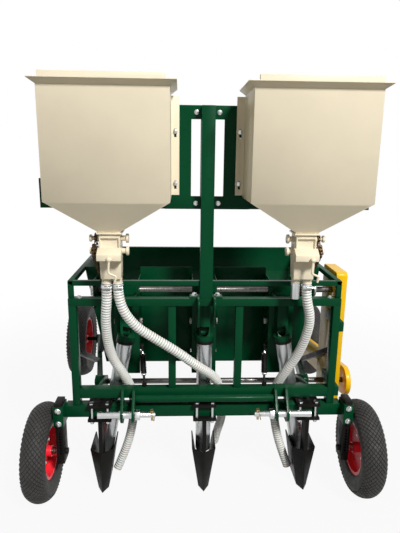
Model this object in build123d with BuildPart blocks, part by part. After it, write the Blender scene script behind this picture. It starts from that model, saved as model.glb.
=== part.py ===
"""Three-row garlic planter carried on a tractor's three-point hitch.

Millimetres. X runs across the rows, Y from the hitch towards the back, Z up from the ground.
Places along Y are measured from the middle of the toolbar. Each finished piece is then moved
so that the origin lies on the ground under the middle of the machine.
"""
import os
from math import atan2, cos, degrees, hypot, pi, radians, tan

from build123d import *

# Toolbar and front frame
toolbar_size = 50.0
toolbar_wall = 4.0
toolbar_z = 378.0
frame_half = 541.0
toolbar_overhang = 32.0
toolbar_half = frame_half + toolbar_overhang
rail_depth = 40.0
rail_wall = 3.0
top_rail_height = 30.0
top_rail_z = 845.0
low_rail_height = 40.0
low_rail_z = 455.0
post_width = 30.0
upright_size = 30.0

# Rows: openers on the toolbar, row units closer together above them
opener_inset = 110.0
opener_x = frame_half - opener_inset
tube_spread = 103.0
row_x = opener_x - tube_spread
upright_share = 0.41
upright_x = upright_share * row_x
clamp_half = 48.0

# Tubes round the mouth of the clove bin
rim_tube = 20.0
rim_wall = 2.0
rim_top_z = 930.0
rim_half = frame_half
rim_back_y = 719.0

# Mast and upper hitch plates
mast_size = 50.0
mast_wall = 4.0
mast_y = 5.0
mast_foot_width = 130.0
mast_foot_thick = 8.0
ear_gap = 54.0
ear_thick = 8.0
ear_hole_radius = 9.8
ear_hole_y = -62.0
ear_hole_z = 848.0
ear_nose = 25.0

# Lower hitch
hitch_plate_thick = 10.0
hitch_clamp_clear = 98.0
hitch_plate_inner_x = opener_x - clamp_half - hitch_clamp_clear
hitch_plate_gap = 35.0
hitch_y = -72.0
hitch_z = 388.0
hitch_boss = 30.0
hitch_plate_top_z = low_rail_z + low_rail_height / 2 + 4
pin_outer_radius = 14.0
pin_inner_radius = 11.0
pin_outer_length = 88.0
pin_inner_length = 62.0
pin_nut_flat = 18.0
pin_nut_thick = 22.0
pin_collar_radius = 20.0
pin_collar_thick = 6.0
linch_hole_radius = 5.0
linch_hole_inset = 14.0
cross_tube_radius = 15.0
cross_tube_y = -38.0
cross_tube_z = 441.0

# Fertiliser hoppers, lids and their carrier
hopper_width = 426.0
hopper_row_lap = 191.0
hopper_inner_x = row_x - hopper_row_lap
hopper_x = hopper_inner_x + hopper_width / 2
hopper_depth = 237.0
hopper_back_y = 30.0
hopper_low_z = 1254.0
hopper_top_z = 1643.0
hopper_wall = 2.5
hopper_mouth_z = 1140.0
mouth_width = 76.0
mouth_depth = 80.0
flange_width = 30.0
flange_thick = 3.0
flange_slot_shares = (0.12, 0.61)
slot_width = 9.0
slot_length_share = 0.08
flare = 22.0
flare_rise = 16.0
lid_sheet = 2.5
lid_overlap = 1.0
lid_back_gap = 6.0
lid_rest_gap = 0.4
handle_length = 400.0
handle_height = 18.0
handle_depth = 16.0
hinge_y = 39.0
hinge_rise = 5.0
hinge_offset = 140.0
hinge_barrel_radius = 6.0
hinge_barrel_length = 40.0
hinge_pin_radius = 3.0
hinge_ear_thick = 6.0
carrier_thick = 8.0
carrier_half = hopper_inner_x - flange_width + 3.0
carrier_tab_half = hopper_inner_x + 28.0
carrier_low_z = hopper_low_z - 46.0
carrier_top_z = hopper_top_z - 51.0
carrier_tab_share = 0.3
carrier_band_share = 0.13
carrier_stile = 48.0
carrier_bar_reach = 77.0
carrier_bar_half = hopper_x + hopper_width / 2 + carrier_bar_reach
mast_top_z = carrier_top_z - 4.0
carrier_bar_height = 30.0
carrier_bar_ledge = 40.0
carrier_bar_thick = 5.0
carrier_lip_height = 112.0

# Fertiliser meters and their chain drives
meter_row_shift = 28.0
meter_x = row_x + meter_row_shift
meter_width = 76.0
meter_depth = 80.0
meter_flange = 8.0
meter_flange_thick = 6.0
meter_waist_z = 1060.0
meter_base_z = 965.0
meter_base_width = 86.0
meter_base_depth = 54.0
meter_window_width = 44.0
meter_window_height = 42.0
meter_window_deep = 10.0
shelf_width = 64.0
shelf_reach = 34.0
shelf_top_z = 1052.0
shelf_height = 34.0
meter_boss_radius = 17.0
meter_boss_length = 14.0
agitator_z = 1113.0
meter_shaft_z = 1066.0
meter_shaft_radius = 8.0
outlet_spacing = 42.0
outlet_radius = 17.0
outlet_bore = 14.0
outlet_low_z = 946.0
lever_radius = 4.0
lever_ball = 9.0
lever_root_z = 28.0
lever_side = 8.0
lever_sweep = 22.0
lever_drop = 34.0
lever_bend = 9.0
sprocket_radius = 22.0
sprocket_thick = 6.0
chain_half_height = 4.0
drive_offset = 60.0
drive_plane_x = meter_x + drive_offset

# Hoses and the bare outlet
hose_radius = 19.0
hose_bore = 16.0
stub_length = 62.0

# Clove bin
bin_front_y = 236.0
bin_floor_low_z = 482.0
bin_floor_high_z = 800.0
bin_taper = 80.0
bin_half_low = rim_half - rim_tube - bin_taper
bin_sheet = 3.0

# Elevator row units
unit_width = 104.0
unit_front_y = 106.0
unit_low_z = 485.0
unit_top_z = 900.0
unit_sheet = 3.0
shaft_y = 170.0
shaft_z = 846.0
shaft_radius = 12.5
idler_z = 565.0
idler_radius = 8.0
guide_z = 702.0
guide_radius = 6.0
guide_bush_radius = 13.0
guide_bush_length = 9.0
pulley_radius = 35.0
pulley_width = 64.0
belt_width = 60.0
belt_thick = 4.0
cup_width = 44.0
cup_reach = 18.0
cup_height = 22.0
cup_wall = 2.0
cup_count = 10
running_gap = 0.1
seat_gap = 0.3
bracket_width = 8.0
bracket_height = 22.0
bearing_plate_inset = 79.0
bearing_plate_x = rim_half - bearing_plate_inset
bearing_plate_thick = 6.0
bearing_plate_low_z = 780.0
bearing_radius = 30.0
bearing_thick = 18.0
bearing_lug = 44.0
shaft_left_x = -bearing_plate_x - bearing_plate_thick / 2 - bearing_thick - 3.0

# Chutes, seed tubes and openers
chute_width = 46.0
chute_depth = 40.0
chute_top_z = 830.0
chute_low_z = 735.0
chute_sheet = 2.5
window_top_z = 822.0
tube_top_y = 61.0
tube_low_y = 91.0
tube_top_z = 671.0
tube_low_z = 200.0
tube_radius = 32.5
tube_wall = 2.5
collar_radius = 37.0
collar_length = 18.0
collar_lip = 4.0
shoe_tip_z = 6.0
shoe_top_z = 252.0
shoe_nose_y = -45.0
shoe_cheek_y = 15.0
shoe_back_y = 130.0
shoe_half_top = 51.0
shoe_half_low = 22.0
shoe_plate = 5.0
shank_thick = 16.0
shank_front_y = -40.0
shank_back_y = 20.0
shank_low_z = 110.0
clamp_front_y = -48.0
clamp_back_y = 42.0
clamp_thick = 11.0
clamp_bolt_radius = 6.0
clamp_bolt_x = 32.0
clamp_bolt_y = 33.0
bolt_head_flat = 9.5
bolt_head_height = 8.0

# Jackshaft, rear wheel arms and braces
jack_y = 200.0
jack_z = 402.0
jack_bracket_inset = 24.0
jack_bracket_x = bearing_plate_x - jack_bracket_inset
jack_bracket_thick = 10.0
arm_boss_radius = 28.0
arm_boss_gap = 3.0
arm_boss_x = jack_bracket_x + jack_bracket_thick / 2 + arm_boss_gap
arm_boss_length = 40.0
jack_left_x = -arm_boss_x - arm_boss_length - 4.0
arm_width = 26.0
arm_height = 50.0
arm_axle_boss = 36.0
brace_size = 22.0
brace_post_z = 640.0
brace_arm_share = 0.37
stay_arm_share = 0.50
stay_bin_y = 600.0
stay_bin_x = bin_half_low + 10.0

# Chain guards
strap_thick = 19.0
guard_x = frame_half + strap_thick
guard_thick = 46.0
guard_arm_gap = 6.0
arm_axle_x = guard_x + guard_thick + guard_arm_gap
shaft_right_x = guard_x + 30.0
guard_front_y = 115.0
guard_back_y = 305.0
guard_low_z = 335.0
guard_top_z = 934.0
guard_sheet = 2.5
wheel_guard_thick = 22.0
jack_right_x = arm_axle_x + arm_axle_boss + wheel_guard_thick + 4.0
wheel_guard_radius = 66.0
strap_heights = (436.0, 720.0)
strap_height = 40.0
strap_front_y = -15.0
strap_back_y = 165.0

# Tension rods between the outer row units and the lower rail
tension_radius = 5.0
spring_radius = 11.0
tension_top_z = 606.0
tension_low_x = row_x - unit_width / 2 - 26.0

# Front gauge wheels
front_wheel_y = -27.0
front_tyre_radius = 200.0
front_tyre_width = 94.0
front_rim_radius = 103.0
front_rim_width = 62.0
leg_width = 30.0
leg_depth = 64.0
leg_wall = 4.0
sleeve_wall = 5.0
leg_x = toolbar_half + sleeve_wall + leg_width / 2
leg_to_wheel = 75.0
front_wheel_x = leg_x + leg_to_wheel
leg_top_z = 432.0
leg_foot = 40.0
leg_hole_radius = 4.0
leg_hole_pitch = 13.0
leg_hole_count = 8
leg_nut_radius = 13.0
leg_nut_thick = 10.0
sleeve_low_z = 330.0
sleeve_high_z = 418.0
stub_axle_radius = 10.0

# Rear ground-drive wheels
arm_to_wheel = 128.0
rear_wheel_x = arm_axle_x + arm_to_wheel
rear_wheel_y = 1150.0
rear_tyre_radius = 235.0
rear_tyre_width = 118.0
rear_rim_radius = 129.0
rear_rim_width = 84.0
rear_axle_radius = 12.5

# Shared by every wheel
rim_sheet = 4.0
rim_flange = 10.0
hub_wall = 12.0
hub_length = 66.0
tyre_crown = 9.0
axle_washer = 18.0
axle_washer_thick = 8.0

front_reach = hopper_depth - hopper_back_y + flare + lid_overlap
rear_reach = rear_wheel_y + rear_tyre_radius
middle_y = (rear_reach - front_reach) / 2

os.makedirs("parts", exist_ok=True)


def save(piece, name):
    """Moves a finished piece to the common origin and writes it under its name."""
    piece = piece.moved(Location((0, -middle_y, 0)))
    piece.label = name
    export_step(piece, f"parts/{name}.step")


def joined(*pieces):
    """Gathers finished pieces, welding those that meet."""
    with BuildPart() as group:
        for piece in pieces:
            add(piece)
    return group.part


def both_sides(piece):
    """A piece with its mirror image on the other side of the machine."""
    with BuildPart() as pair:
        add(piece)
        mirror(about=Plane.YZ)
    return pair.part


def other_side(piece):
    """The mirror image alone."""
    with BuildPart() as image:
        add(mirror(piece, about=Plane.YZ, mode=Mode.PRIVATE))
    return image.part


def block(x, y, z):
    """A block between low and high limits along each axis."""
    with BuildPart() as piece:
        with Locations(((x[0] + x[1]) / 2, (y[0] + y[1]) / 2, (z[0] + z[1]) / 2)):
            Box(x[1] - x[0], y[1] - y[0], z[1] - z[0])
    return piece.part


def line_plane(start, end):
    """A plane square to the line, with its own x level where it can be."""
    run = Vector(*end) - Vector(*start)
    across = Vector(0, 0, 1).cross(run)
    if across.length < 0.001:
        across = Vector(1, 0, 0)
    return Plane(origin=start, x_dir=across, z_dir=run), run.length


def bar(start, end, width, height, wall=0.0):
    """Rectangular bar or tube between two points."""
    plane, length = line_plane(start, end)
    with BuildPart() as piece:
        with BuildSketch(plane):
            Rectangle(width, height)
            if wall:
                Rectangle(width - 2 * wall, height - 2 * wall, mode=Mode.SUBTRACT)
        extrude(amount=length)
    return piece.part


def rod(start, end, radius, bore=0.0):
    """Round bar or tube between two points."""
    plane, length = line_plane(start, end)
    with BuildPart() as piece:
        with BuildSketch(plane):
            Circle(radius)
            if bore:
                Circle(bore, mode=Mode.SUBTRACT)
        extrude(amount=length)
    return piece.part


def side_plate(x, thick, outline, holes=(), discs=()):
    """Plate lying along the machine: an outline of (y, z) points with discs added and holes cut."""
    with BuildPart() as piece:
        with BuildSketch(Plane.YZ.offset(x)):
            Polygon(*outline, align=None)
            for y, z, radius in discs:
                with Locations((y, z)):
                    Circle(radius)
            for y, z, radius in holes:
                with Locations((y, z)):
                    Circle(radius, mode=Mode.SUBTRACT)
        extrude(amount=thick)
    return piece.part


def front_frame():
    """Two rails across, four posts between them and the stubs that lift the rim tubes."""
    rails = joined(
        bar((-frame_half, 0, top_rail_z), (frame_half, 0, top_rail_z), rail_depth, top_rail_height, rail_wall),
        bar((-frame_half + post_width, 0, low_rail_z), (frame_half - post_width, 0, low_rail_z),
            rail_depth, low_rail_height, rail_wall))
    under_top = top_rail_z - top_rail_height / 2
    over_top = top_rail_z + top_rail_height / 2
    over_low = low_rail_z + low_rail_height / 2
    over_bar = toolbar_z + toolbar_size / 2
    outer_x = frame_half - post_width / 2
    stub_x = rim_half - rim_tube / 2
    posts = joined(
        bar((outer_x, 0, over_bar), (outer_x, 0, under_top), post_width, rail_depth, rail_wall),
        bar((upright_x, 0, over_low), (upright_x, 0, under_top), upright_size, upright_size, rail_wall),
        bar((stub_x, 0, over_top), (stub_x, 0, rim_top_z - rim_tube), rim_tube, rim_tube, rim_wall))
    save(rails, "frame_rails")
    save(both_sides(posts), "frame_posts")
    bar_ends = ((-toolbar_half, 0, toolbar_z), (toolbar_half, 0, toolbar_z))
    save(bar(*bar_ends, toolbar_size, toolbar_size, toolbar_wall), "toolbar")


def rim_tubes():
    """Square tubes round the mouth of the bin. The front one stops at each side of the mast."""
    z = rim_top_z - rim_tube / 2
    side_x = rim_half - rim_tube / 2
    inner_x = rim_half - rim_tube
    side = bar((side_x, -rim_tube / 2, z), (side_x, rim_back_y, z), rim_tube, rim_tube, rim_wall)
    front = bar((mast_size / 2, 0, z), (inner_x, 0, z), rim_tube, rim_tube, rim_wall)
    back_y = rim_back_y - rim_tube / 2
    back = bar((-inner_x, back_y, z), (inner_x, back_y, z), rim_tube, rim_tube, rim_wall)
    save(both_sides(side), "rim_side_rails")
    save(joined(both_sides(front), back), "rim_cross_rails")


def mast():
    """Capped post on a bolted foot, with the two plates that take the top link."""
    foot_z = top_rail_z + top_rail_height / 2
    low_y = mast_y - mast_size / 2
    high_y = mast_y + mast_size / 2
    post_z = foot_z + mast_foot_thick
    post = joined(
        block((-mast_foot_width / 2, mast_foot_width / 2), (low_y, high_y), (foot_z, post_z)),
        bar((0, mast_y, post_z), (0, mast_y, mast_top_z), mast_size, mast_size, mast_wall),
        block((-mast_size / 2, mast_size / 2), (low_y, high_y), (mast_top_z - mast_wall, mast_top_z)))
    save(post, "mast")
    face_y = -rail_depth / 2
    tail_z = top_rail_z - 100
    outline = ((face_y, ear_hole_z + ear_nose), (ear_hole_y, ear_hole_z + ear_nose),
               (ear_hole_y - ear_nose, ear_hole_z), (ear_hole_y, ear_hole_z - 2.6 * ear_nose),
               (face_y - 10, tail_z), (face_y, tail_z))
    ear = side_plate(ear_gap / 2, ear_thick, outline, holes=((ear_hole_y, ear_hole_z, ear_hole_radius),),
                     discs=((ear_hole_y, ear_hole_z, ear_nose),))
    save(both_sides(ear), "top_link_plates")


def lower_hitch():
    """Two pairs of plates on the rail and toolbar, the tube between them and the stepped pins."""
    bar_y = -toolbar_size / 2
    rail_y = -rail_depth / 2
    bar_low = toolbar_z - toolbar_size / 2
    bar_high = toolbar_z + toolbar_size / 2
    outline = ((bar_y, bar_low), (bar_y, bar_high), (rail_y, bar_high + 8), (rail_y, hitch_plate_top_z),
               (rail_y - 22, hitch_plate_top_z), (hitch_y - 0.93 * hitch_boss, hitch_z + 12),
               (hitch_y - 0.6 * hitch_boss, hitch_z - 24), (hitch_y, bar_low - 2))
    plates = []
    for x in (hitch_plate_inner_x, hitch_plate_inner_x + hitch_plate_thick + hitch_plate_gap):
        plates.append(side_plate(x, hitch_plate_thick, outline, discs=((hitch_y, hitch_z, hitch_boss),),
                                 holes=((hitch_y, hitch_z, pin_outer_radius + 2 * running_gap),)))
    save(both_sides(joined(*plates)), "hitch_plates")
    tube_ends = ((-hitch_plate_inner_x, cross_tube_y, cross_tube_z), (hitch_plate_inner_x, cross_tube_y, cross_tube_z))
    save(rod(*tube_ends, cross_tube_radius, cross_tube_radius - rail_wall), "hitch_cross_tube")

    nut_x = hitch_plate_inner_x - seat_gap - pin_nut_thick
    shoulder_x = hitch_plate_inner_x + 2 * hitch_plate_thick + hitch_plate_gap + seat_gap
    collar_x = shoulder_x + pin_collar_thick
    inner_end = nut_x - pin_inner_length
    outer_end = collar_x + pin_outer_length

    def along(x):
        return (x, hitch_y, hitch_z)

    with BuildPart() as pin:
        add(rod(along(inner_end), along(nut_x), pin_inner_radius))
        with BuildSketch(Plane.YZ.offset(nut_x)):
            with Locations((hitch_y, hitch_z)):
                RegularPolygon(pin_nut_flat, 6, major_radius=False)
        extrude(amount=pin_nut_thick)
        add(rod(along(nut_x), along(outer_end), pin_outer_radius))
        add(rod(along(shoulder_x), along(collar_x), pin_collar_radius))
        chamfer(pin.faces().sort_by(Axis.X)[-1].edges(), 2)
        chamfer(pin.faces().sort_by(Axis.X)[0].edges(), 2)
        for x in (inner_end + linch_hole_inset, outer_end - linch_hole_inset):
            with Locations(along(x)):
                Cylinder(linch_hole_radius, 4 * pin_outer_radius, mode=Mode.SUBTRACT)
    save(both_sides(pin.part), "hitch_pins")


def hopper_carrier():
    """Windowed plate behind the mast, and the angle bar under the hoppers with its upright end lips."""
    front_y = mast_y + mast_size / 2
    back_y = front_y + carrier_thick
    tab = carrier_tab_share * (carrier_top_z - carrier_low_z)
    band = carrier_band_share * (carrier_top_z - carrier_low_z)
    window = (mast_size / 2 + 2, carrier_half - carrier_stile)
    with BuildPart() as plate:
        add(block((-carrier_half, carrier_half), (front_y, back_y), (carrier_low_z, carrier_top_z)))
        add(block((-carrier_tab_half, carrier_tab_half), (front_y, back_y), (carrier_top_z - tab, carrier_top_z)))
        add(block((-carrier_tab_half, carrier_tab_half), (front_y, back_y), (carrier_low_z, carrier_low_z + tab)))
        opening = block(window, (front_y - 1, back_y + 1), (carrier_low_z + band, carrier_top_z - band))
        add(both_sides(opening), mode=Mode.SUBTRACT)
    save(plate.part, "hopper_carrier")
    ledge_z = carrier_low_z + carrier_bar_height
    half = carrier_bar_half
    upright = (back_y, back_y + carrier_bar_thick)
    ledge = (back_y, back_y + carrier_bar_ledge)
    angle = joined(
        block((-half, half), upright, (carrier_low_z, ledge_z)),
        block((-half, half), ledge, (carrier_low_z, carrier_low_z + carrier_bar_thick)),
        both_sides(block((half - carrier_bar_thick, half), ledge, (carrier_low_z, carrier_low_z + carrier_lip_height))))
    save(angle, "carrier_bar")


def hopper_and_lid():
    """Sheet hopper with a pyramid bottom, a flared rim, a slotted flange and hinge ears, and its flat lid."""
    middle = hopper_back_y - hopper_depth / 2
    front = hopper_back_y - hopper_depth
    inner_x = hopper_x - hopper_width / 2
    hinge_z = hopper_top_z + hinge_rise
    flare_z = hopper_top_z - flare_rise
    height = hopper_top_z - hopper_low_z
    centre = (hopper_x, middle)
    mouth = (meter_x, middle)
    with BuildPart() as hopper:
        for inset, mode in ((0.0, Mode.ADD), (hopper_wall, Mode.SUBTRACT)):
            width = hopper_width - 2 * inset
            depth = hopper_depth - 2 * inset
            with BuildSketch(Plane.XY.offset(hopper_low_z)):
                with Locations(centre):
                    Rectangle(width, depth)
            extrude(amount=flare_z - hopper_low_z, mode=mode)
            wide = width + 2 * flare - inset
            deep = depth + flare - inset
            with BuildSketch(Plane.XY.offset(flare_z)):
                with Locations(centre):
                    Rectangle(width, depth)
            with BuildSketch(Plane.XY.offset(hopper_top_z)):
                with Locations((hopper_x, hopper_back_y - inset - deep / 2)):
                    Rectangle(wide, deep)
            loft(ruled=True, mode=mode)
            with BuildSketch(Plane.XY.offset(hopper_low_z)):
                with Locations(centre):
                    Rectangle(width, depth)
            with BuildSketch(Plane.XY.offset(hopper_mouth_z)):
                with Locations(mouth):
                    Rectangle(mouth_width - 2 * inset, mouth_depth - 2 * inset)
            loft(ruled=True, mode=mode)
        flange_y = (hopper_back_y - flange_thick, hopper_back_y)
        add(block((inner_x - flange_width, inner_x), flange_y, (hopper_low_z + 8, flare_z - 4)))
        for share in flange_slot_shares:
            z = hopper_low_z + share * height
            slot_length = slot_length_share * height
            slot_x = inner_x - flange_width / 2
            cut = block((slot_x - slot_width / 2, slot_x + slot_width / 2),
                        (flange_y[0] - 1, flange_y[1] + 1), (z - slot_length / 2, z + slot_length / 2))
            add(cut, mode=Mode.SUBTRACT)
        ear_y = (hopper_back_y, hinge_y + hinge_barrel_radius)
        for x in (hopper_x - hinge_offset, hopper_x + hinge_offset):
            half_pin = hinge_barrel_length / 2 + seat_gap
            add(rod((x - half_pin - hinge_ear_thick, hinge_y, hinge_z),
                    (x + half_pin + hinge_ear_thick, hinge_y, hinge_z), hinge_pin_radius))
            for ear_x in (x - half_pin - hinge_ear_thick, x + half_pin):
                add(block((ear_x, ear_x + hinge_ear_thick), ear_y,
                          (hopper_top_z - 16, hinge_z + hinge_barrel_radius)))
    save(hopper.part, "hopper_right")
    save(other_side(hopper.part), "hopper_left")

    low_z = hopper_top_z + lid_rest_gap
    top_z = low_z + lid_sheet
    with BuildPart() as lid:
        half_lid = hopper_width / 2 + flare + lid_overlap
        lid_front = front - flare - lid_overlap
        lid_back = hopper_back_y - lid_back_gap
        add(block((hopper_x - half_lid, hopper_x + half_lid), (lid_front, lid_back), (low_z, top_z)))
        handle_y = (lid_front, lid_front + handle_depth)
        handle_x = (hopper_x - handle_length / 2, hopper_x + handle_length / 2)
        add(block(handle_x, handle_y, (top_z, top_z + handle_height)))
        add(block((handle_x[0] - 1, handle_x[1] + 1), (handle_y[0] + lid_sheet, handle_y[1] - lid_sheet),
                  (top_z + lid_sheet, top_z + handle_height - lid_sheet)), mode=Mode.SUBTRACT)
        for x in (hopper_x - hinge_offset, hopper_x + hinge_offset):
            half = hinge_barrel_length / 2
            add(block((x - half, x + half), (lid_back - 4, hinge_y), (low_z, top_z)))
            add(rod((x - half, hinge_y, hinge_z), (x + half, hinge_y, hinge_z), hinge_barrel_radius))
        for x in (hopper_x - hinge_offset, hopper_x + hinge_offset):
            half = hinge_barrel_length / 2 + 1
            add(rod((x - half, hinge_y, hinge_z), (x + half, hinge_y, hinge_z), hinge_pin_radius + running_gap),
                mode=Mode.SUBTRACT)
    save(lid.part, "lid_right")
    save(other_side(lid.part), "lid_left")


def fertiliser_meter():
    """Cast meter under each hopper: flange, window, sloping shelf, bearing bosses and two outlets."""
    middle = hopper_back_y - hopper_depth / 2
    front = middle - meter_depth / 2
    half = meter_width / 2
    with BuildPart() as meter:
        with BuildSketch(Plane.XY.offset(hopper_mouth_z - meter_flange_thick)):
            with Locations((meter_x, middle)):
                Rectangle(meter_width + 2 * meter_flange, meter_depth + 2 * meter_flange)
        extrude(amount=meter_flange_thick)
        with BuildSketch(Plane.XY.offset(meter_waist_z)):
            with Locations((meter_x, middle)):
                Rectangle(meter_width, meter_depth)
        extrude(amount=hopper_mouth_z - meter_waist_z)
        for z, width, depth in ((meter_waist_z, meter_width, meter_depth),
                                (meter_base_z, meter_base_width, meter_base_depth)):
            with BuildSketch(Plane.XY.offset(z)):
                with Locations((meter_x, middle)):
                    Rectangle(width, depth)
        loft(ruled=True)
        window_z = hopper_mouth_z - meter_flange_thick - 10
        add(block((meter_x - meter_window_width / 2, meter_x + meter_window_width / 2),
                  (front - 1, front + meter_window_deep), (window_z - meter_window_height, window_z)),
            mode=Mode.SUBTRACT)
        with BuildSketch(Plane.YZ.offset(meter_x - shelf_width / 2)):
            Polygon((front + 4, shelf_top_z), (front - shelf_reach, shelf_top_z - 12),
                    (front - shelf_reach, shelf_top_z - 20), (front + 8, shelf_top_z - 20 - shelf_height), align=None)
        extrude(amount=shelf_width)
        for z in (agitator_z, meter_shaft_z):
            add(rod((meter_x - half - meter_boss_length, middle, z), (meter_x + half + meter_boss_length, middle, z),
                    meter_boss_radius))
        add(rod((meter_x + half, middle, meter_shaft_z), (drive_plane_x + sprocket_thick, middle, meter_shaft_z),
                meter_shaft_radius))
        for x in (meter_x - outlet_spacing / 2, meter_x + outlet_spacing / 2):
            add(rod((x, middle, outlet_low_z), (x, middle, meter_base_z + 6), outlet_radius))
            add(rod((x, middle, outlet_low_z - 1), (x, middle, meter_base_z + 4), outlet_bore), mode=Mode.SUBTRACT)
    save(meter.part, "meter_right")
    save(other_side(meter.part), "meter_left")

    rod_y = front - shelf_reach - lever_radius - seat_gap
    root_z = meter_base_z + lever_root_z
    path = ((meter_x + lever_side, front + 3.5 * lever_radius, root_z),
            (meter_x + lever_side, rod_y - 1.5 * lever_radius, root_z),
            (meter_x + lever_side + lever_sweep, rod_y - 2.5 * lever_radius, root_z - 0.5 * lever_drop),
            (meter_x + lever_side + 1.2 * lever_sweep, rod_y - 3 * lever_radius, root_z - 1.5 * lever_drop))
    with BuildPart() as lever:
        with BuildLine() as route:
            FilletPolyline(*path, radius=lever_bend)
        with BuildSketch(Plane(origin=route.line @ 0, z_dir=route.line % 0)):
            Circle(lever_radius)
        sweep()
        with Locations(path[3]):
            Sphere(lever_ball)
        add(meter.part, mode=Mode.SUBTRACT)
    save(both_sides(lever.part), "meter_levers")


def chain_drives():
    """Roller chain on two sprockets, from the elevator shaft up to each meter."""
    middle = hopper_back_y - hopper_depth / 2
    run_y = shaft_y - middle
    run_z = shaft_z - meter_shaft_z
    separation = hypot(run_y, run_z)
    angle = degrees(atan2(run_z, run_y))
    centre = ((shaft_y + middle) / 2, (shaft_z + meter_shaft_z) / 2)
    outer = 2 * (sprocket_radius + chain_half_height)
    inner = 2 * (sprocket_radius - chain_half_height)
    ends = ((middle, meter_shaft_z, meter_shaft_radius), (shaft_y, shaft_z, shaft_radius))
    with BuildPart() as drive:
        with BuildSketch(Plane.YZ.offset(drive_plane_x)):
            with Locations(centre):
                SlotCenterToCenter(separation, outer, rotation=angle)
                SlotCenterToCenter(separation, inner, rotation=angle, mode=Mode.SUBTRACT)
            for y, z, bore in ends:
                with Locations((y, z)):
                    Circle(sprocket_radius - chain_half_height + 1)
            for y, z, bore in ends:
                with Locations((y, z)):
                    Circle(bore + running_gap, mode=Mode.SUBTRACT)
        extrude(amount=sprocket_thick)
    save(both_sides(drive.part), "meter_drives")


outlet_y = hopper_back_y - hopper_depth / 2
outer_outlet = meter_x + outlet_spacing / 2
inner_outlet = meter_x - outlet_spacing / 2
hose_start = 58.0
hose_routes = {
    "hose_left": (
        (-outer_outlet, outlet_y, outlet_low_z), (-outer_outlet, outlet_y, outlet_low_z - hose_start),
        (-outer_outlet - 11, outlet_y + 13, 796), (-outer_outlet - 11, outlet_y + 45, 692),
        (-outer_outlet + 11, -4, 596), (-opener_x + 111, 30, 520), (-opener_x + 129, 60, 424),
        (-opener_x + 131, 64, 326), (-opener_x + 115, 64, 226), (-opener_x + 87, 62, 134), (-opener_x + 53, 60, 54)),
    "hose_centre": (
        (-inner_outlet, outlet_y, outlet_low_z), (-inner_outlet, outlet_y, outlet_low_z - 0.86 * hose_start),
        (-inner_outlet + 17, -84, 830), (-inner_outlet + 63, -70, 760), (-inner_outlet + 131, -56, 698),
        (-126, -46, 640), (-46, -18, 574), (30, 28, 512), (70, 60, 430), (84, 74, 345), (82, 104, 262),
        (68, 142, 186), (58, 168, 112)),
    "hose_right": (
        (outer_outlet, outlet_y, outlet_low_z), (outer_outlet, outlet_y, outlet_low_z - hose_start),
        (outer_outlet + 32, outlet_y + 13, 800), (outer_outlet + 37, outlet_y + 41, 704),
        (outer_outlet + 7, -10, 606), (opener_x - 105, 26, 528), (opener_x - 125, 58, 432),
        (opener_x - 125, 64, 332), (opener_x - 109, 64, 230), (opener_x - 81, 62, 136), (opener_x - 51, 60, 56)),
}


def hose(name, points):
    """Corrugated hose, drawn as a plain tube of straight runs and wide arcs."""
    stops = [Vector(*p) for p in points]
    radii = []
    for before, corner, after in zip(stops[:-2], stops[1:-1], stops[2:]):
        turn = radians((corner - before).get_angle(after - corner))
        radii.append(0.45 * min((corner - before).length, (after - corner).length) / tan(turn / 2))
    with BuildPart() as tube:
        with BuildLine() as route:
            FilletPolyline(*stops, radius=radii)
        with BuildSketch(Plane(origin=route.line @ 0, z_dir=route.line % 0)):
            Circle(hose_radius)
            Circle(hose_bore, mode=Mode.SUBTRACT)
        sweep()
    section = pi * (hose_radius ** 2 - hose_bore ** 2)
    print(name, "length", round(route.wire().length), "radii", [round(r) for r in radii],
          "volume ratio", round(tube.part.volume / (section * route.wire().length), 4))
    save(tube.part, name)


def bare_outlet():
    """Short pipe on the outlet of the right meter that feeds no hose."""
    middle = hopper_back_y - hopper_depth / 2
    x = meter_x - outlet_spacing / 2
    pipe = rod((x, middle, outlet_low_z - stub_length), (x, middle, outlet_low_z), outlet_radius, outlet_bore)
    save(pipe, "outlet_stub")


def bin_solid(inset):
    """The bin's outer form, or its inside when inset by the sheet."""
    back_y = rim_back_y - rim_tube - inset
    slope = atan2(bin_floor_high_z - bin_floor_low_z, rim_back_y - rim_tube - bin_front_y)
    rise = inset / cos(slope)
    lean = atan2(rim_half - rim_tube - bin_half_low, rim_top_z - bin_floor_low_z)
    side = inset / cos(lean)
    top = rim_top_z + (1 if inset else 0)
    drop = 40.0
    step = drop * tan(lean)
    with BuildPart() as form:
        with BuildSketch(Plane.YZ):
            Polygon((bin_front_y + inset, bin_floor_low_z + rise), (bin_front_y + inset, top), (back_y, top),
                    (back_y, bin_floor_high_z + rise), align=None)
        extrude(amount=rim_half, both=True)
        with BuildSketch(Plane.XZ):
            low = bin_half_low - step - side
            high = rim_half - rim_tube + drop * tan(lean) - side
            Polygon((-low, bin_floor_low_z - drop), (low, bin_floor_low_z - drop), (high, rim_top_z + drop),
                    (-high, rim_top_z + drop), align=None)
        extrude(amount=2 * rim_back_y, both=True, mode=Mode.INTERSECT)
    return form.part


def clove_bin():
    """Open bin with a sloping floor and sides, cut away in front for the three row units."""
    with BuildPart() as hollow:
        add(bin_solid(0.0))
        add(bin_solid(bin_sheet), mode=Mode.SUBTRACT)
        half = unit_width / 2 - unit_sheet
        for x in (-row_x, 0, row_x):
            add(block((x - half, x + half), (bin_front_y - 1, bin_front_y + bin_sheet + 1),
                      (unit_low_z + 20, rim_top_z + 1)), mode=Mode.SUBTRACT)
    save(hollow.part, "seed_bin")


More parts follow.
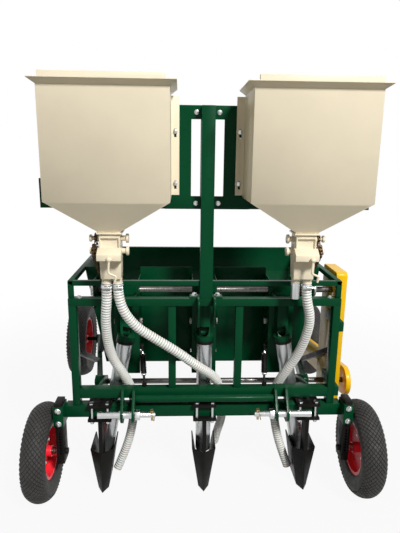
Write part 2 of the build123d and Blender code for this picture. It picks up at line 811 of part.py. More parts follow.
def row_units():
    """Elevator casings, the belts with their cups, and the shafts, pulleys and guides inside."""
    half = unit_width / 2
    belts = []
    idlers = []
    guides = []
    for x, name in ((-row_x, "row_unit_left"), (0, "row_unit_centre"), (row_x, "row_unit_right")):
        with BuildPart() as casing:
            add(block((x - half, x + half), (unit_front_y, bin_front_y), (unit_low_z, unit_top_z)))
            add(block((x - half + unit_sheet, x + half - unit_sheet), (unit_front_y + unit_sheet, bin_front_y + 1),
                      (unit_low_z + unit_sheet, unit_top_z + 1)), mode=Mode.SUBTRACT)
            for z, radius in ((shaft_z, shaft_radius), (idler_z, idler_radius), (guide_z, guide_radius)):
                add(rod((x - half - 1, shaft_y, z), (x + half + 1, shaft_y, z), radius + running_gap),
                    mode=Mode.SUBTRACT)
            add(block((x - chute_width / 2 + chute_sheet, x + chute_width / 2 - chute_sheet),
                      (unit_front_y - 1, unit_front_y + unit_sheet + 1), (chute_low_z + 6, window_top_z)),
                mode=Mode.SUBTRACT)
        save(casing.part, name)
        belts.append(cup_belt(x))
        idlers.append(joined(rod((x - half - 6, shaft_y, idler_z), (x + half + 6, shaft_y, idler_z), idler_radius),
                             rod((x - pulley_width / 2, shaft_y, idler_z), (x + pulley_width / 2, shaft_y, idler_z),
                                 pulley_radius - seat_gap)))
        bush = guide_bush_length
        guides.append(joined(rod((x - half - bush, shaft_y, guide_z), (x + half + bush, shaft_y, guide_z), guide_radius),
                             rod((x - half - bush, shaft_y, guide_z), (x - half, shaft_y, guide_z), guide_bush_radius),
                             rod((x + half, shaft_y, guide_z), (x + half + bush, shaft_y, guide_z), guide_bush_radius)))
    save(joined(*belts), "cup_belts")
    save(joined(*idlers), "idler_pulleys")
    save(joined(*guides), "belt_guides")
    with BuildPart() as shaft:
        add(rod((shaft_left_x, shaft_y, shaft_z), (shaft_right_x, shaft_y, shaft_z), shaft_radius))
        for x in (-row_x, 0, row_x):
            add(rod((x - pulley_width / 2, shaft_y, shaft_z), (x + pulley_width / 2, shaft_y, shaft_z),
                    pulley_radius - seat_gap))
    save(shaft.part, "drive_shaft")


def scoop(x, face_y, z, side):
    """Lifting cup with an open pocket, upright where the belt climbs and turned over where it comes down."""
    rim = z + side * cup_height / 2
    base = z - side * cup_height / 2
    lip = face_y + side * cup_reach
    toe = face_y + side * 0.55 * cup_reach
    with BuildPart() as cup:
        with BuildSketch(Plane.YZ.offset(x - cup_width / 2)):
            Polygon((face_y - side, base), (toe, base), (lip, rim), (face_y - side, rim), align=None)
        extrude(amount=cup_width)
        with BuildSketch(Plane.YZ.offset(x - cup_width / 2 + cup_wall)):
            Polygon((face_y + side * cup_wall, base + side * cup_wall), (toe - side * cup_wall, base + side * cup_wall),
                    (lip - side * cup_wall, rim + side), (face_y + side * cup_wall, rim + side), align=None)
        extrude(amount=cup_width - 2 * cup_wall, mode=Mode.SUBTRACT)
    return cup.part


def cup_belt(x):
    """Endless belt with lifting cups standing out from it, as one loop."""
    span = shaft_z - idler_z
    outer = pulley_radius + belt_thick
    with BuildPart() as loop:
        with BuildSketch(Plane.YZ.offset(x - belt_width / 2)):
            with Locations((shaft_y, (shaft_z + idler_z) / 2)):
                SlotCenterToCenter(span, 2 * outer, rotation=90)
                SlotCenterToCenter(span, 2 * pulley_radius, rotation=90, mode=Mode.SUBTRACT)
        extrude(amount=belt_width)
        pitch = span / (cup_count / 2)
        for k in range(cup_count // 2):
            z = idler_z + (k + 0.5) * pitch
            for side in (-1, 1):
                add(scoop(x, shaft_y + side * outer, z, side))
    return loop.part


def frame_brackets():
    """Small plates on the frame: unit brackets, bearing plates, jackshaft brackets and guard straps."""
    rail_back = rail_depth / 2
    pieces = []
    for x in (-row_x, 0, row_x):
        for side in (-1, 1):
            edge = x + side * (unit_width / 2 - bracket_width)
            pieces.append(block((edge - bracket_width / 2, edge + bracket_width / 2), (rail_back, unit_front_y),
                                (top_rail_z - bracket_height / 2, top_rail_z + bracket_height / 2)))
    plate_half = bearing_plate_thick / 2
    hole = (shaft_y, shaft_z, shaft_radius + running_gap)
    outline = ((unit_front_y, bearing_plate_low_z), (bin_front_y, bearing_plate_low_z),
               (bin_front_y, unit_top_z), (unit_front_y, unit_top_z))
    for x in (-bearing_plate_x, bearing_plate_x):
        pieces.append(side_plate(x - plate_half, bearing_plate_thick, outline, holes=(hole,)))
    jack_hole = (jack_y, jack_z, shaft_radius + running_gap)
    jack_outline = ((rail_back, low_rail_z - low_rail_height / 2), (rail_back, low_rail_z + low_rail_height / 2),
                    (jack_y + 4, jack_z + arm_boss_radius), (jack_y - 4, jack_z - arm_boss_radius))
    for x in (-jack_bracket_x, jack_bracket_x):
        pieces.append(side_plate(x - jack_bracket_thick / 2, jack_bracket_thick, jack_outline,
                                 holes=(jack_hole,), discs=((jack_y, jack_z, arm_boss_radius),)))
    for z in strap_heights:
        pieces.append(block((frame_half, guard_x), (strap_front_y, strap_back_y), (z, z + strap_height)))
    save(joined(*pieces), "frame_brackets")


def shaft_bearings():
    """Flanged bearings on the bearing plates, outside the outer row units."""
    face = bearing_plate_x + bearing_plate_thick / 2
    with BuildPart() as bearing:
        add(rod((face, shaft_y, shaft_z), (face + bearing_thick, shaft_y, shaft_z), bearing_radius))
        with BuildSketch(Plane.YZ.offset(face)):
            with Locations((shaft_y, shaft_z)):
                SlotCenterToCenter(bearing_lug, 1.1 * bearing_radius, rotation=90)
        extrude(amount=bearing_thick / 2)
        add(rod((face - 1, shaft_y, shaft_z), (face + bearing_thick + 1, shaft_y, shaft_z), shaft_radius + running_gap),
            mode=Mode.SUBTRACT)
    save(both_sides(bearing.part), "shaft_bearings")


def seed_path(side):
    """Chute on a row unit with its collar, and the seed tube that leads on to the opener."""
    top = Vector(side * row_x, tube_top_y, tube_top_z)
    low = Vector(side * opener_x, tube_low_y, tube_low_z)
    down = (low - top).normalized()
    lip = top - down * collar_lip
    end = top + down * collar_length
    x = side * row_x
    y = unit_front_y - chute_depth / 2
    with BuildPart() as chute:
        for inset, mode in ((0.0, Mode.ADD), (chute_sheet, Mode.SUBTRACT)):
            width = chute_width - 2 * inset
            depth = chute_depth - 2 * inset
            shift = inset
            with BuildSketch(Plane.XY.offset(chute_low_z)):
                with Locations((x, y + shift)):
                    Rectangle(width, depth + (2 * inset if inset else 0))
            extrude(amount=chute_top_z - chute_low_z - inset, mode=mode)
            with BuildSketch(Plane.XY.offset(chute_low_z)):
                with Locations((x, y)):
                    Rectangle(width, depth)
            with BuildSketch(Plane(origin=lip, x_dir=(1, 0, 0), z_dir=(0, 0, 1))):
                Rectangle(1.3 * tube_radius - 2 * inset, 1.3 * tube_radius - 2 * inset)
            loft(ruled=True, mode=mode)
        add(rod(lip - down * 6, end, collar_radius))
        add(rod(top, end + down, tube_radius + running_gap), mode=Mode.SUBTRACT)
        add(rod(lip - down * 40, end, 0.6 * tube_radius), mode=Mode.SUBTRACT)
    tube = rod(top, low, tube_radius, tube_radius - tube_wall)
    return chute.part, tube


def shoe_section(z):
    """Nose, cheek and back places and the half width of an opener shoe at a height."""
    share = (z - shoe_tip_z) / (shoe_top_z - shoe_tip_z)
    return shoe_half_low + share * (shoe_half_top - shoe_half_low)


def shoe_form(x, inset):
    """Boat-shaped shoe, or the hollow behind its plates."""
    over = 4.0 if inset else 0.0
    with BuildPart() as form:
        for z in (shoe_tip_z - over, shoe_top_z + over):
            half = shoe_section(z)
            nose = shoe_nose_y + 3.2 * inset
            cheek = shoe_cheek_y + 0.6 * inset
            back = shoe_back_y + 2 * over
            with BuildSketch(Plane.XY.offset(z)):
                Polygon((x, nose), (x + half - inset, cheek), (x + half - inset, back), (x - half + inset, back),
                        (x - half + inset, cheek), align=None)
        loft(ruled=True)
    return form.part


def opener(x, name):
    """Furrow opener: a boat-shaped shoe on a flat shank, under a plate that is bolted to the toolbar."""
    plate_z = toolbar_z - toolbar_size / 2
    with BuildPart() as blade:
        add(shoe_form(x, 0.0))
        add(shoe_form(x, shoe_plate), mode=Mode.SUBTRACT)
        add(block((x - shank_thick / 2, x + shank_thick / 2), (shank_front_y, shank_back_y),
                  (shank_low_z, plate_z - clamp_thick)))
        add(block((x - clamp_half, x + clamp_half), (clamp_front_y, clamp_back_y), (plate_z - clamp_thick, plate_z)))
        for bolt_x in (x - clamp_bolt_x, x + clamp_bolt_x):
            for bolt_y in (-clamp_bolt_y, clamp_bolt_y):
                with Locations((bolt_x, bolt_y, plate_z - clamp_thick / 2)):
                    Cylinder(clamp_bolt_radius + running_gap, 2 * clamp_thick, mode=Mode.SUBTRACT)
    save(blade.part, name)


def opener_clamps():
    """Upper clamp plates and the bolts that pull them down on the toolbar."""
    plate_z = toolbar_z + toolbar_size / 2
    under_z = toolbar_z - toolbar_size / 2 - clamp_thick
    plates = []
    bolts = []
    for x in (-opener_x, 0, opener_x):
        with BuildPart() as plate:
            add(block((x - clamp_half, x + clamp_half), (clamp_front_y, clamp_back_y), (plate_z, plate_z + clamp_thick)))
            for bolt_x in (x - clamp_bolt_x, x + clamp_bolt_x):
                for bolt_y in (-clamp_bolt_y, clamp_bolt_y):
                    with Locations((bolt_x, bolt_y, plate_z + clamp_thick / 2)):
                        Cylinder(clamp_bolt_radius + running_gap, 2 * clamp_thick, mode=Mode.SUBTRACT)
        plates.append(plate.part)
        for bolt_x in (x - clamp_bolt_x, x + clamp_bolt_x):
            for bolt_y in (-clamp_bolt_y, clamp_bolt_y):
                bolts.append(clamp_bolt(bolt_x, bolt_y, under_z, plate_z + clamp_thick))
    save(joined(*plates), "opener_clamps")
    save(joined(*bolts), "clamp_bolts")


def clamp_bolt(x, y, low_z, high_z):
    """Through bolt with a hexagon head on top and a nut below."""
    with BuildPart() as bolt:
        add(rod((x, y, low_z - bolt_head_height - 6), (x, y, high_z), clamp_bolt_radius))
        for z in (low_z - bolt_head_height, high_z):
            with BuildSketch(Plane.XY.offset(z)):
                with Locations((x, y)):
                    RegularPolygon(bolt_head_flat, 6, major_radius=False)
            extrude(amount=bolt_head_height)
    return bolt.part


def rear_carriage():
    """Jackshaft, the trailing arms with their stub axles, and the braces and stays on the arms."""
    save(rod((jack_left_x, jack_y, jack_z), (jack_right_x, jack_y, jack_z), shaft_radius), "jackshaft")
    pivot = Vector(arm_boss_x + arm_boss_length / 2, jack_y, jack_z)
    axle = Vector(arm_axle_x + arm_axle_boss / 2, rear_wheel_y, rear_tyre_radius)
    axle_end = rear_wheel_x + hub_length / 2 + seat_gap

    def at_axle(x):
        return (x, rear_wheel_y, rear_tyre_radius)

    with BuildPart() as arm:
        add(bar(pivot, axle, arm_width, arm_height))
        add(rod((arm_boss_x, jack_y, jack_z), (arm_boss_x + arm_boss_length, jack_y, jack_z), arm_boss_radius))
        add(rod(at_axle(arm_axle_x), at_axle(arm_axle_x + arm_axle_boss), arm_boss_radius))
        add(rod((arm_boss_x - 20, jack_y, jack_z), (arm_boss_x + arm_boss_length + 20, jack_y, jack_z),
                shaft_radius + running_gap), mode=Mode.SUBTRACT)
        add(rod(at_axle(arm_axle_x), at_axle(axle_end + axle_washer_thick), rear_axle_radius))
        add(rod(at_axle(axle_end), at_axle(axle_end + axle_washer_thick), axle_washer + 2))
    save(both_sides(arm.part), "rear_arms")

    along = axle - pivot
    level = Vector(0, 0, 1).cross(along).normalized()
    above = along.cross(level).normalized()
    arm_top = Plane(origin=pivot + above * (arm_height / 2), z_dir=above)
    foot = pivot + along * brace_arm_share
    post_face = Plane(origin=(0, rail_depth / 2, 0), z_dir=(0, 1, 0))
    with BuildPart() as brace:
        add(bar((frame_half - post_width / 2, 0, brace_post_z), foot, brace_size, brace_size))
        split(bisect_by=post_face, keep=Keep.TOP)
        split(bisect_by=arm_top, keep=Keep.TOP)
    slope = Vector(0, rim_back_y - rim_tube - bin_front_y, bin_floor_high_z - bin_floor_low_z)
    under = Vector(1, 0, 0).cross(slope).normalized() * -1
    floor_z = bin_floor_low_z + slope.Z / slope.Y * (stay_bin_y - bin_front_y)
    floor = Plane(origin=(0, stay_bin_y, floor_z), z_dir=under)
    with BuildPart() as stay:
        add(bar(pivot + along * stay_arm_share, (stay_bin_x, stay_bin_y, floor_z + 40), brace_size, brace_size))
        split(bisect_by=floor, keep=Keep.TOP)
        split(bisect_by=arm_top, keep=Keep.TOP)
    save(both_sides(joined(brace.part, stay.part)), "arm_braces")


def chain_guards():
    """Tall guard over the chain to the elevator shaft, and the long one along to the right rear wheel."""
    x = (guard_x, guard_x + guard_thick)
    y = (guard_front_y, guard_back_y)
    z = (guard_low_z, guard_top_z)
    with BuildPart() as tall:
        add(block(x, y, z))
        fillet(tall.edges().filter_by(Axis.X).group_by(Axis.Z)[-1], 18)
        add(block((x[0] + guard_sheet, x[1] - guard_sheet), (y[0] + guard_sheet, y[1] - guard_sheet),
                  (z[0] + guard_sheet, z[1] - guard_sheet - 12)), mode=Mode.SUBTRACT)
        add(rod((guard_x - 1, shaft_y, shaft_z), (guard_x + guard_thick / 2, shaft_y, shaft_z),
                shaft_radius + running_gap), mode=Mode.SUBTRACT)
        add(rod((guard_x - 1, jack_y, jack_z), (guard_x + guard_thick + 1, jack_y, jack_z),
                shaft_radius + running_gap), mode=Mode.SUBTRACT)
    save(tall.part, "chain_guard")

    run_y = rear_wheel_y - jack_y
    run_z = rear_tyre_radius - jack_z
    angle = degrees(atan2(run_z, run_y))
    centre = ((rear_wheel_y + jack_y) / 2, (rear_tyre_radius + jack_z) / 2)
    start_x = arm_axle_x + arm_axle_boss
    ends = ((jack_y, jack_z), (rear_wheel_y, rear_tyre_radius))
    with BuildPart() as slim:
        for inset, mode in ((0.0, Mode.ADD), (guard_sheet, Mode.SUBTRACT)):
            with BuildSketch(Plane.YZ.offset(start_x + inset)):
                with Locations(centre):
                    SlotCenterToCenter(hypot(run_y, run_z), 2 * (wheel_guard_radius - inset), rotation=angle)
            extrude(amount=wheel_guard_thick - 2 * inset, mode=mode)
        for end_y, end_z in ends:
            add(rod((start_x - 1, end_y, end_z), (start_x + wheel_guard_thick + 1, end_y, end_z),
                    rear_axle_radius + running_gap), mode=Mode.SUBTRACT)
    save(slim.part, "wheel_chain_guard")


def tension_rods():
    """Sprung rods from the inner faces of the outer row units down to the lower rail."""
    face_x = row_x - unit_width / 2
    eye_x = face_x - 2 * tension_radius
    rail_top = low_rail_z + low_rail_height / 2
    top = Vector(eye_x, unit_front_y + 16, tension_top_z)
    low = Vector(tension_low_x, 8, rail_top)
    run = low - top
    with BuildPart() as pull:
        add(rod(top, low - Vector(0, 0, -tension_radius), tension_radius))
        add(rod(top + run * 0.25, top + run * 0.7, spring_radius))
        add(rod((eye_x - 6, top.Y, top.Z), (face_x, top.Y, top.Z), 2.2 * tension_radius))
        add(rod((low.X, low.Y, rail_top), (low.X, low.Y, rail_top + 12), 2 * tension_radius))
    save(both_sides(pull.part), "tension_rods")


def wheel_legs():
    """Drilled legs of the front wheels with their stub axles, and the sleeves that hold them."""
    y0 = front_wheel_y - leg_depth / 2
    y1 = front_wheel_y + leg_depth / 2
    axle_z = front_tyre_radius
    axle_end = front_wheel_x + hub_length / 2 + seat_gap
    hub_face = front_wheel_x - hub_length / 2 - seat_gap

    def at_axle(x):
        return (x, front_wheel_y, axle_z)

    low_z = axle_z - leg_foot
    with BuildPart() as leg:
        add(bar((leg_x, front_wheel_y, low_z), (leg_x, front_wheel_y, leg_top_z), leg_width, leg_depth, leg_wall))
        for z in (low_z, leg_top_z - leg_wall):
            add(block((leg_x - leg_width / 2, leg_x + leg_width / 2), (y0, y1), (z, z + leg_wall)))
        for k in range(leg_hole_count):
            z = axle_z + (k + 0.5) * leg_hole_pitch
            add(rod((leg_x, y0 - 1, z), (leg_x, y0 + leg_wall + 1, z), leg_hole_radius), mode=Mode.SUBTRACT)
        nut_x = leg_x - leg_width / 2 - leg_nut_thick
        add(rod(at_axle(nut_x), at_axle(axle_end + axle_washer_thick), stub_axle_radius))
        add(rod(at_axle(nut_x), at_axle(leg_x), leg_nut_radius))
        add(rod(at_axle(leg_x), at_axle(hub_face), axle_washer))
        add(rod(at_axle(axle_end), at_axle(axle_end + axle_washer_thick), axle_washer))
    save(both_sides(leg.part), "wheel_legs")
    gap = seat_gap
    inner = leg_x - leg_width / 2 - gap
    outer = leg_x + leg_width / 2 + gap
    with BuildPart() as sleeve:
        add(block((toolbar_half, outer + sleeve_wall), (y0 - gap - sleeve_wall, y1 + gap + sleeve_wall),
                  (sleeve_low_z, sleeve_high_z)))
        add(block((inner, outer), (y0 - gap, y1 + gap), (sleeve_low_z - 1, sleeve_high_z + 1)), mode=Mode.SUBTRACT)
    save(both_sides(sleeve.part), "leg_sleeves")


def wheel(x, y, tyre_radius, tyre_width, rim_radius, rim_width, bore, name):
    """Pneumatic tyre on a pressed rim with a plain hub, turning about X."""
    plane = Plane(origin=(x, y, tyre_radius), x_dir=(1, 0, 0), z_dir=(0, -1, 0))
    axis = Axis((x, y, tyre_radius), (1, 0, 0))
    half = tyre_width / 2
    bead = rim_width / 2 - rim_sheet - seat_gap
    seat = rim_radius + seat_gap
    bulge = (rim_radius + tyre_radius) / 2
    shoulder = tyre_radius - 1.6 * tyre_crown
    with BuildPart() as tyre:
        with BuildSketch(plane):
            with BuildLine():
                Polyline((-bead, seat + rim_flange + 2), (-bead, seat), (bead, seat), (bead, seat + rim_flange + 2))
                ThreePointArc((bead, seat + rim_flange + 2), (half, bulge), (0.86 * half, shoulder))
                ThreePointArc((0.86 * half, shoulder), (0, tyre_radius), (-0.86 * half, shoulder))
                ThreePointArc((-0.86 * half, shoulder), (-half, bulge), (-bead, seat + rim_flange + 2))
            make_face()
        revolve(axis=axis)
    save(tyre.part, f"{name}_tyre")
    hub = hub_length / 2
    wide = rim_width / 2
    well = rim_radius - rim_sheet
    boss = bore + hub_wall
    with BuildPart() as rim:
        with BuildSketch(plane):
            Polygon((-wide, well), (wide, well), (wide, rim_radius + rim_flange), (wide - rim_sheet, rim_radius + rim_flange),
                    (wide - rim_sheet, rim_radius), (-wide + rim_sheet, rim_radius),
                    (-wide + rim_sheet, rim_radius + rim_flange), (-wide, rim_radius + rim_flange), align=None)
            Polygon((-rim_sheet / 2 + 8, boss - 1), (rim_sheet / 2 + 8, boss - 1), (rim_sheet / 2 - 8, well + 1),
                    (-rim_sheet / 2 - 8, well + 1), align=None)
            Polygon((-hub, bore + running_gap), (hub, bore + running_gap), (hub, boss), (-hub, boss), align=None)
        revolve(axis=axis)
    save(rim.part, f"{name}_rim")


front_frame()
rim_tubes()
mast()
lower_hitch()
hopper_carrier()
hopper_and_lid()
fertiliser_meter()
chain_drives()
for hose_name, hose_points in hose_routes.items():
    hose(hose_name, hose_points)
bare_outlet()
clove_bin()
row_units()
frame_brackets()
shaft_bearings()
seed_parts = [seed_path(side) for side in (-1, 0, 1)]
save(joined(*[chute for chute, tube in seed_parts]), "chutes")
save(joined(*[tube for chute, tube in seed_parts]), "seed_tubes")
for place, opener_name in ((-opener_x, "opener_left"), (0, "opener_centre"), (opener_x, "opener_right")):
    opener(place, opener_name)
opener_clamps()
rear_carriage()
chain_guards()
tension_rods()
wheel_legs()
for sign, side_name in ((-1, "left"), (1, "right")):
    wheel(sign * front_wheel_x, front_wheel_y, front_tyre_radius, front_tyre_width, front_rim_radius,
          front_rim_width, stub_axle_radius, f"front_{side_name}")
    wheel(sign * rear_wheel_x, rear_wheel_y, rear_tyre_radius, rear_tyre_width, rear_rim_radius,
          rear_rim_width, rear_axle_radius, f"rear_{side_name}")
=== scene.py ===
"""Dresses a packed garlic planter: finishes, hoses, openers, meters, tyres, chains, springs and fasteners."""
import math

import bmesh
import bpy
from bpy.props import FloatProperty, FloatVectorProperty, IntProperty, PointerProperty
from mathutils import Matrix, Vector


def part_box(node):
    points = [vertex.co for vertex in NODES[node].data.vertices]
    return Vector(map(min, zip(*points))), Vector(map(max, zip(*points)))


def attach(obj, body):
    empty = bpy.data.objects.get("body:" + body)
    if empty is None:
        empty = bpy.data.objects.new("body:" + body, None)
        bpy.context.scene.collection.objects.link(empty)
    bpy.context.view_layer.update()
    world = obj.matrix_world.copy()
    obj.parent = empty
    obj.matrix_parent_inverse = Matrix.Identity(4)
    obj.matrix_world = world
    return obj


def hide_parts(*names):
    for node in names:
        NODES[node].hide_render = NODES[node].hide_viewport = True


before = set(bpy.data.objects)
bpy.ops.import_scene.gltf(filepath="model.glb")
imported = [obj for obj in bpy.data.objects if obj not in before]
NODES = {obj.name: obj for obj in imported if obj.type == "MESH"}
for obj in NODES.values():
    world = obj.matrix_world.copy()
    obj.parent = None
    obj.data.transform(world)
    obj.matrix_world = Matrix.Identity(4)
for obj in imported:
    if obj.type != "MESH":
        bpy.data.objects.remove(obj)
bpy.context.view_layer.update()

bl_info = {
    "name": "Garlic planter dressing",
    "version": (1, 0, 0),
    "blender": (4, 5, 0),
    "location": "View3D > Sidebar > Planter",
    "description": "Finishes, tyres, hoses, chains and fasteners for a packed garlic planter",
    "category": "Object",
}

MM = 0.001
TOOLBAR_LOW, TOOLBAR_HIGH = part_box("toolbar")
TOOLBAR_Y = (TOOLBAR_LOW.y + TOOLBAR_HIGH.y) / 2
SIDES = (-1, 1)
WHEELS = ("front_left", "front_right", "rear_left", "rear_right")
# Half the thickness of a cup belt, over its two runs; cups stand out past it.
BELT_FACE = 39.4 * MM


def linear(code):
    """A six-digit sRGB colour code as linear red, green and blue."""
    channels = [int(code[i:i + 2], 16) / 255 for i in (1, 3, 5)]
    return [c / 12.92 if c <= 0.04045 else ((c + 0.055) / 1.055) ** 2.4 for c in channels]


def place(x, y, z):
    """A point in millimetres from the toolbar's middle, as metres in the frame."""
    return Vector((x * MM, y * MM + TOOLBAR_Y, z * MM))


def colour(label, code, note):
    """A colour setting, from a colour code."""
    return FloatVectorProperty(name=label, description=note, subtype="COLOR", size=3, min=0, max=1,
                               default=linear(code))


class PlanterColours(bpy.types.PropertyGroup):
    """Colours of the paints and plastics."""
    green: colour("Green enamel", "#043C22", "Frame, bin and hitch")
    cream: colour("Cream enamel", "#E1D5BB", "Fertiliser hoppers, lids and meters")
    black: colour("Black satin", "#121110", "Openers, casings and legs")
    yellow: colour("Yellow enamel", "#E6B40C", "Chain guards")
    red: colour("Red enamel", "#EE2636", "Wheel rims")
    rubber: colour("Tyre rubber", "#272625", "Tyres")
    hose: colour("Hose vinyl", "#E4E4DF", "Fertiliser hoses")
    cup: colour("Cup plastic", "#DE8A1E", "Lifting cups")


def length(label, note, size):
    """A length setting, from millimetres."""
    return FloatProperty(name=label, description=note, default=size * MM, unit="LENGTH")


def angle(label, note, degrees):
    """An angle setting, from degrees."""
    return FloatProperty(name=label, description=note, default=math.radians(degrees), subtype="ANGLE")


def power(label, note, watts):
    """A lamp's power setting."""
    return FloatProperty(name=label, description=note, default=watts, subtype="POWER")


class PlanterSizes(bpy.types.PropertyGroup):
    """Sizes of what is dressed on the machine."""
    rib_pitch: length("Hose rib pitch", "Distance between ribs", 10.7)
    rib_depth: length("Hose rib depth", "Depth between ribs", 2.5)
    tread: length("Tread height", "Height of a tread block", 3.2)
    tread_count: IntProperty(name="Tread blocks", description="Blocks around one tyre", default=60, min=12)
    chain_pitch: length("Chain pitch", "Roller to roller", 12.7)
    bolt_flat: length("Bolt flats", "Across the flats of a bolt head", 17)


class PlanterStage(bpy.types.PropertyGroup):
    """Camera and lights."""
    lens: FloatProperty(name="Lens", description="Focal length in millimetres", default=32.48)
    pitch: angle("Pitch", "Camera tilt below level", 13.04)
    yaw: angle("Yaw", "Camera turn to the right", 2.33)
    roll: angle("Roll", "Camera roll", -0.68)
    spot: FloatVectorProperty(name="Camera place", description="Where the camera stands", size=3,
                              subtype="TRANSLATION", default=place(-99.76, -1834.47, 1411.94))
    key: power("Key light", "Power of the key light", 880.0)
    fill: power("Fill light", "Power of the fill light", 14.0)
    sky: FloatProperty(name="Sky", description="Strength of the even light", default=0.20)


def node(tree, kind, inputs=None, **settings):
    """Adds a shader node. Inputs take a value or a socket to link from."""
    made = tree.nodes.new(kind)
    for key, value in settings.items():
        setattr(made, key, value)
    for key, value in (inputs or {}).items():
        if isinstance(value, bpy.types.NodeSocket):
            tree.links.new(value, made.inputs[key])
        else:
            made.inputs[key].default_value = value
    return made


def start_material(name):
    """A material with its node tree and its object coordinates."""
    material = bpy.data.materials.new(name)
    material.use_nodes = True
    tree = material.node_tree
    return material, tree, node(tree, "ShaderNodeTexCoord").outputs["Object"]


def dress(material, base, rough, normal, levels=None):
    """Links colour, roughness and bump to a material's shader, and sets constants on its sockets."""
    tree = material.node_tree
    sockets = tree.nodes["Principled BSDF"].inputs
    for key, source in (("Base Color", base), ("Roughness", rough), ("Normal", normal)):
        tree.links.new(source, sockets[key])
    for key, level in (levels or {}).items():
        sockets[key].default_value = level
    return material


def noise(tree, coords, size, detail, roughness=0.5):
    """Noise in patches of about a size in millimetres."""
    return node(tree, "ShaderNodeTexNoise", {"Vector": coords, "Scale": 1000.0 / size, "Detail": detail,
                                             "Roughness": roughness}).outputs["Fac"]


def ranged(tree, value, low, high, least, most, **settings):
    """Takes a span of values to another, held at its ends."""
    return node(tree, "ShaderNodeMapRange", {"Value": value, "From Min": low, "From Max": high,
                                             "To Min": least, "To Max": most}, **settings).outputs["Result"]


def mixed(tree, share, first, second):
    """A colour that turns from one to another by a share."""
    return node(tree, "ShaderNodeMix", {0: share, 6: first, 7: second}, data_type="RGBA").outputs[2]


def maths(tree, operation, *values):
    """A sum on values or sockets."""
    return node(tree, "ShaderNodeMath", dict(enumerate(values)), operation=operation).outputs[0]


def opaque(code):
    """A colour code as an opaque linear colour."""
    return linear(code) + [1]


def shades(tree, coords, rgb, size, spread):
    """A colour that drifts a little lighter and darker over patches of a size in millimetres."""
    dark = [c * (1 - spread) for c in rgb] + [1]
    light = [min(1, c * (1 + spread)) for c in rgb] + [1]
    return mixed(tree, noise(tree, coords, size, 4.0, 0.6), dark, light)


def roughness_between(tree, coords, size, low, high):
    """Roughness that varies over patches of a size in millimetres."""
    return ranged(tree, noise(tree, coords, size, 5.0), 0.3, 0.7, low, high)


def grain(tree, coords, size, strength, depth):
    """Bump of fine grain of a size in millimetres."""
    return node(tree, "ShaderNodeBump", {"Height": noise(tree, coords, size, 3.0), "Strength": strength,
                                         "Distance": depth * MM}).outputs["Normal"]


def sprayed_enamel(name, rgb, rough, sheen, dust_code, dust):
    """Sprayed alkyd enamel on steel: glossy with orange peel, a little dust that settles on what faces up."""
    material, tree, coords = start_material(name)
    facing = node(tree, "ShaderNodeNewGeometry").outputs["Normal"]
    upward = node(tree, "ShaderNodeSeparateXYZ", {"Vector": facing}).outputs["Z"]
    amount = maths(tree, "MULTIPLY", upward, noise(tree, coords, 22, 6.0, 0.7))
    held = ranged(tree, amount, 0.25, 0.75, 0.0, dust)
    base = mixed(tree, held, shades(tree, coords, rgb, 160, 0.07), opaque(dust_code))
    # Orange peel is about 2 mm across, drawn at 5 mm so that it shows.
    peel = grain(tree, coords, 5, 0.10, 0.25)
    return dress(material, base, roughness_between(tree, coords, 45, rough - 0.06, rough + 0.08), peel,
                 {"Specular IOR Level": sheen, "Coat Weight": 0.03, "Coat Roughness": 0.12})


def black_satin(rgb):
    """Satin black stove paint on hot-rolled steel: dull sheen, fine mill grain, brownish where soil has rubbed."""
    material, tree, coords = start_material("satin_black_stove_paint")
    worn = ranged(tree, noise(tree, coords, 28, 7.0, 0.72), 0.58, 0.78, 0.0, 0.35)
    base = mixed(tree, worn, shades(tree, coords, rgb, 60, 0.22), opaque("#37332B"))
    return dress(material, base, roughness_between(tree, coords, 30, 0.38, 0.58), grain(tree, coords, 4, 0.14, 0.3),
                 {"Specular IOR Level": 0.1})


def plated_zinc():
    """Bright zinc plate on turned steel: cool mirror-like metal, clouded by handling."""
    material, tree, coords = start_material("bright_zinc_plate")
    return dress(material, shades(tree, coords, linear("#C3C5C4"), 14, 0.10),
                 roughness_between(tree, coords, 9, 0.20, 0.38), grain(tree, coords, 2.5, 0.10, 0.1),
                 {"Metallic": 1.0})


def drawn_tube():
    """Galvanised drawn tube: pale metal with long streaks from the drawing die."""
    material, tree, coords = start_material("galvanised_drawn_tube")
    stretched = node(tree, "ShaderNodeMapping", {"Vector": coords, "Scale": (1.0, 1.0, 0.06)}).outputs["Vector"]
    base = mixed(tree, noise(tree, stretched, 9, 5.0), opaque("#9EA1A2"), opaque("#CDCFCF"))
    return dress(material, base, roughness_between(tree, coords, 25, 0.24, 0.40),
                 grain(tree, stretched, 3, 0.10, 0.15), {"Metallic": 0.9})


def tyre_rubber(rgb):
    """Natural rubber tyre compound: matt charcoal, greyed by dried soil between the blocks."""
    material, tree, coords = start_material("tyre_rubber")
    held = ranged(tree, noise(tree, coords, 55, 8.0, 0.75), 0.5, 0.8, 0.0, 0.55)
    base = mixed(tree, held, shades(tree, coords, rgb, 40, 0.2), opaque("#4B463D"))
    return dress(material, base, roughness_between(tree, coords, 20, 0.62, 0.85), grain(tree, coords, 3, 0.25, 0.3))


def hose_vinyl(rgb):
    """Soft vinyl hose: milky white and faintly see-through, with painted shade in the grooves between the ribs and
    inside the bore.
    """
    material, tree, coords = start_material("ribbed_hose_vinyl")
    groove = node(tree, "ShaderNodeAttribute", attribute_name="groove").outputs["Fac"]
    # The mark read here mixes in #A5A49C as painted shade, deepest in the grooves and inside the bore.
    base = mixed(tree, groove, shades(tree, coords, rgb, 70, 0.06), opaque("#A5A49C"))
    return dress(material, base, roughness_between(tree, coords, 18, 0.30, 0.46), grain(tree, coords, 4, 0.06, 0.2),
                 {"Subsurface Weight": 0.12, "Subsurface Scale": 4 * MM})


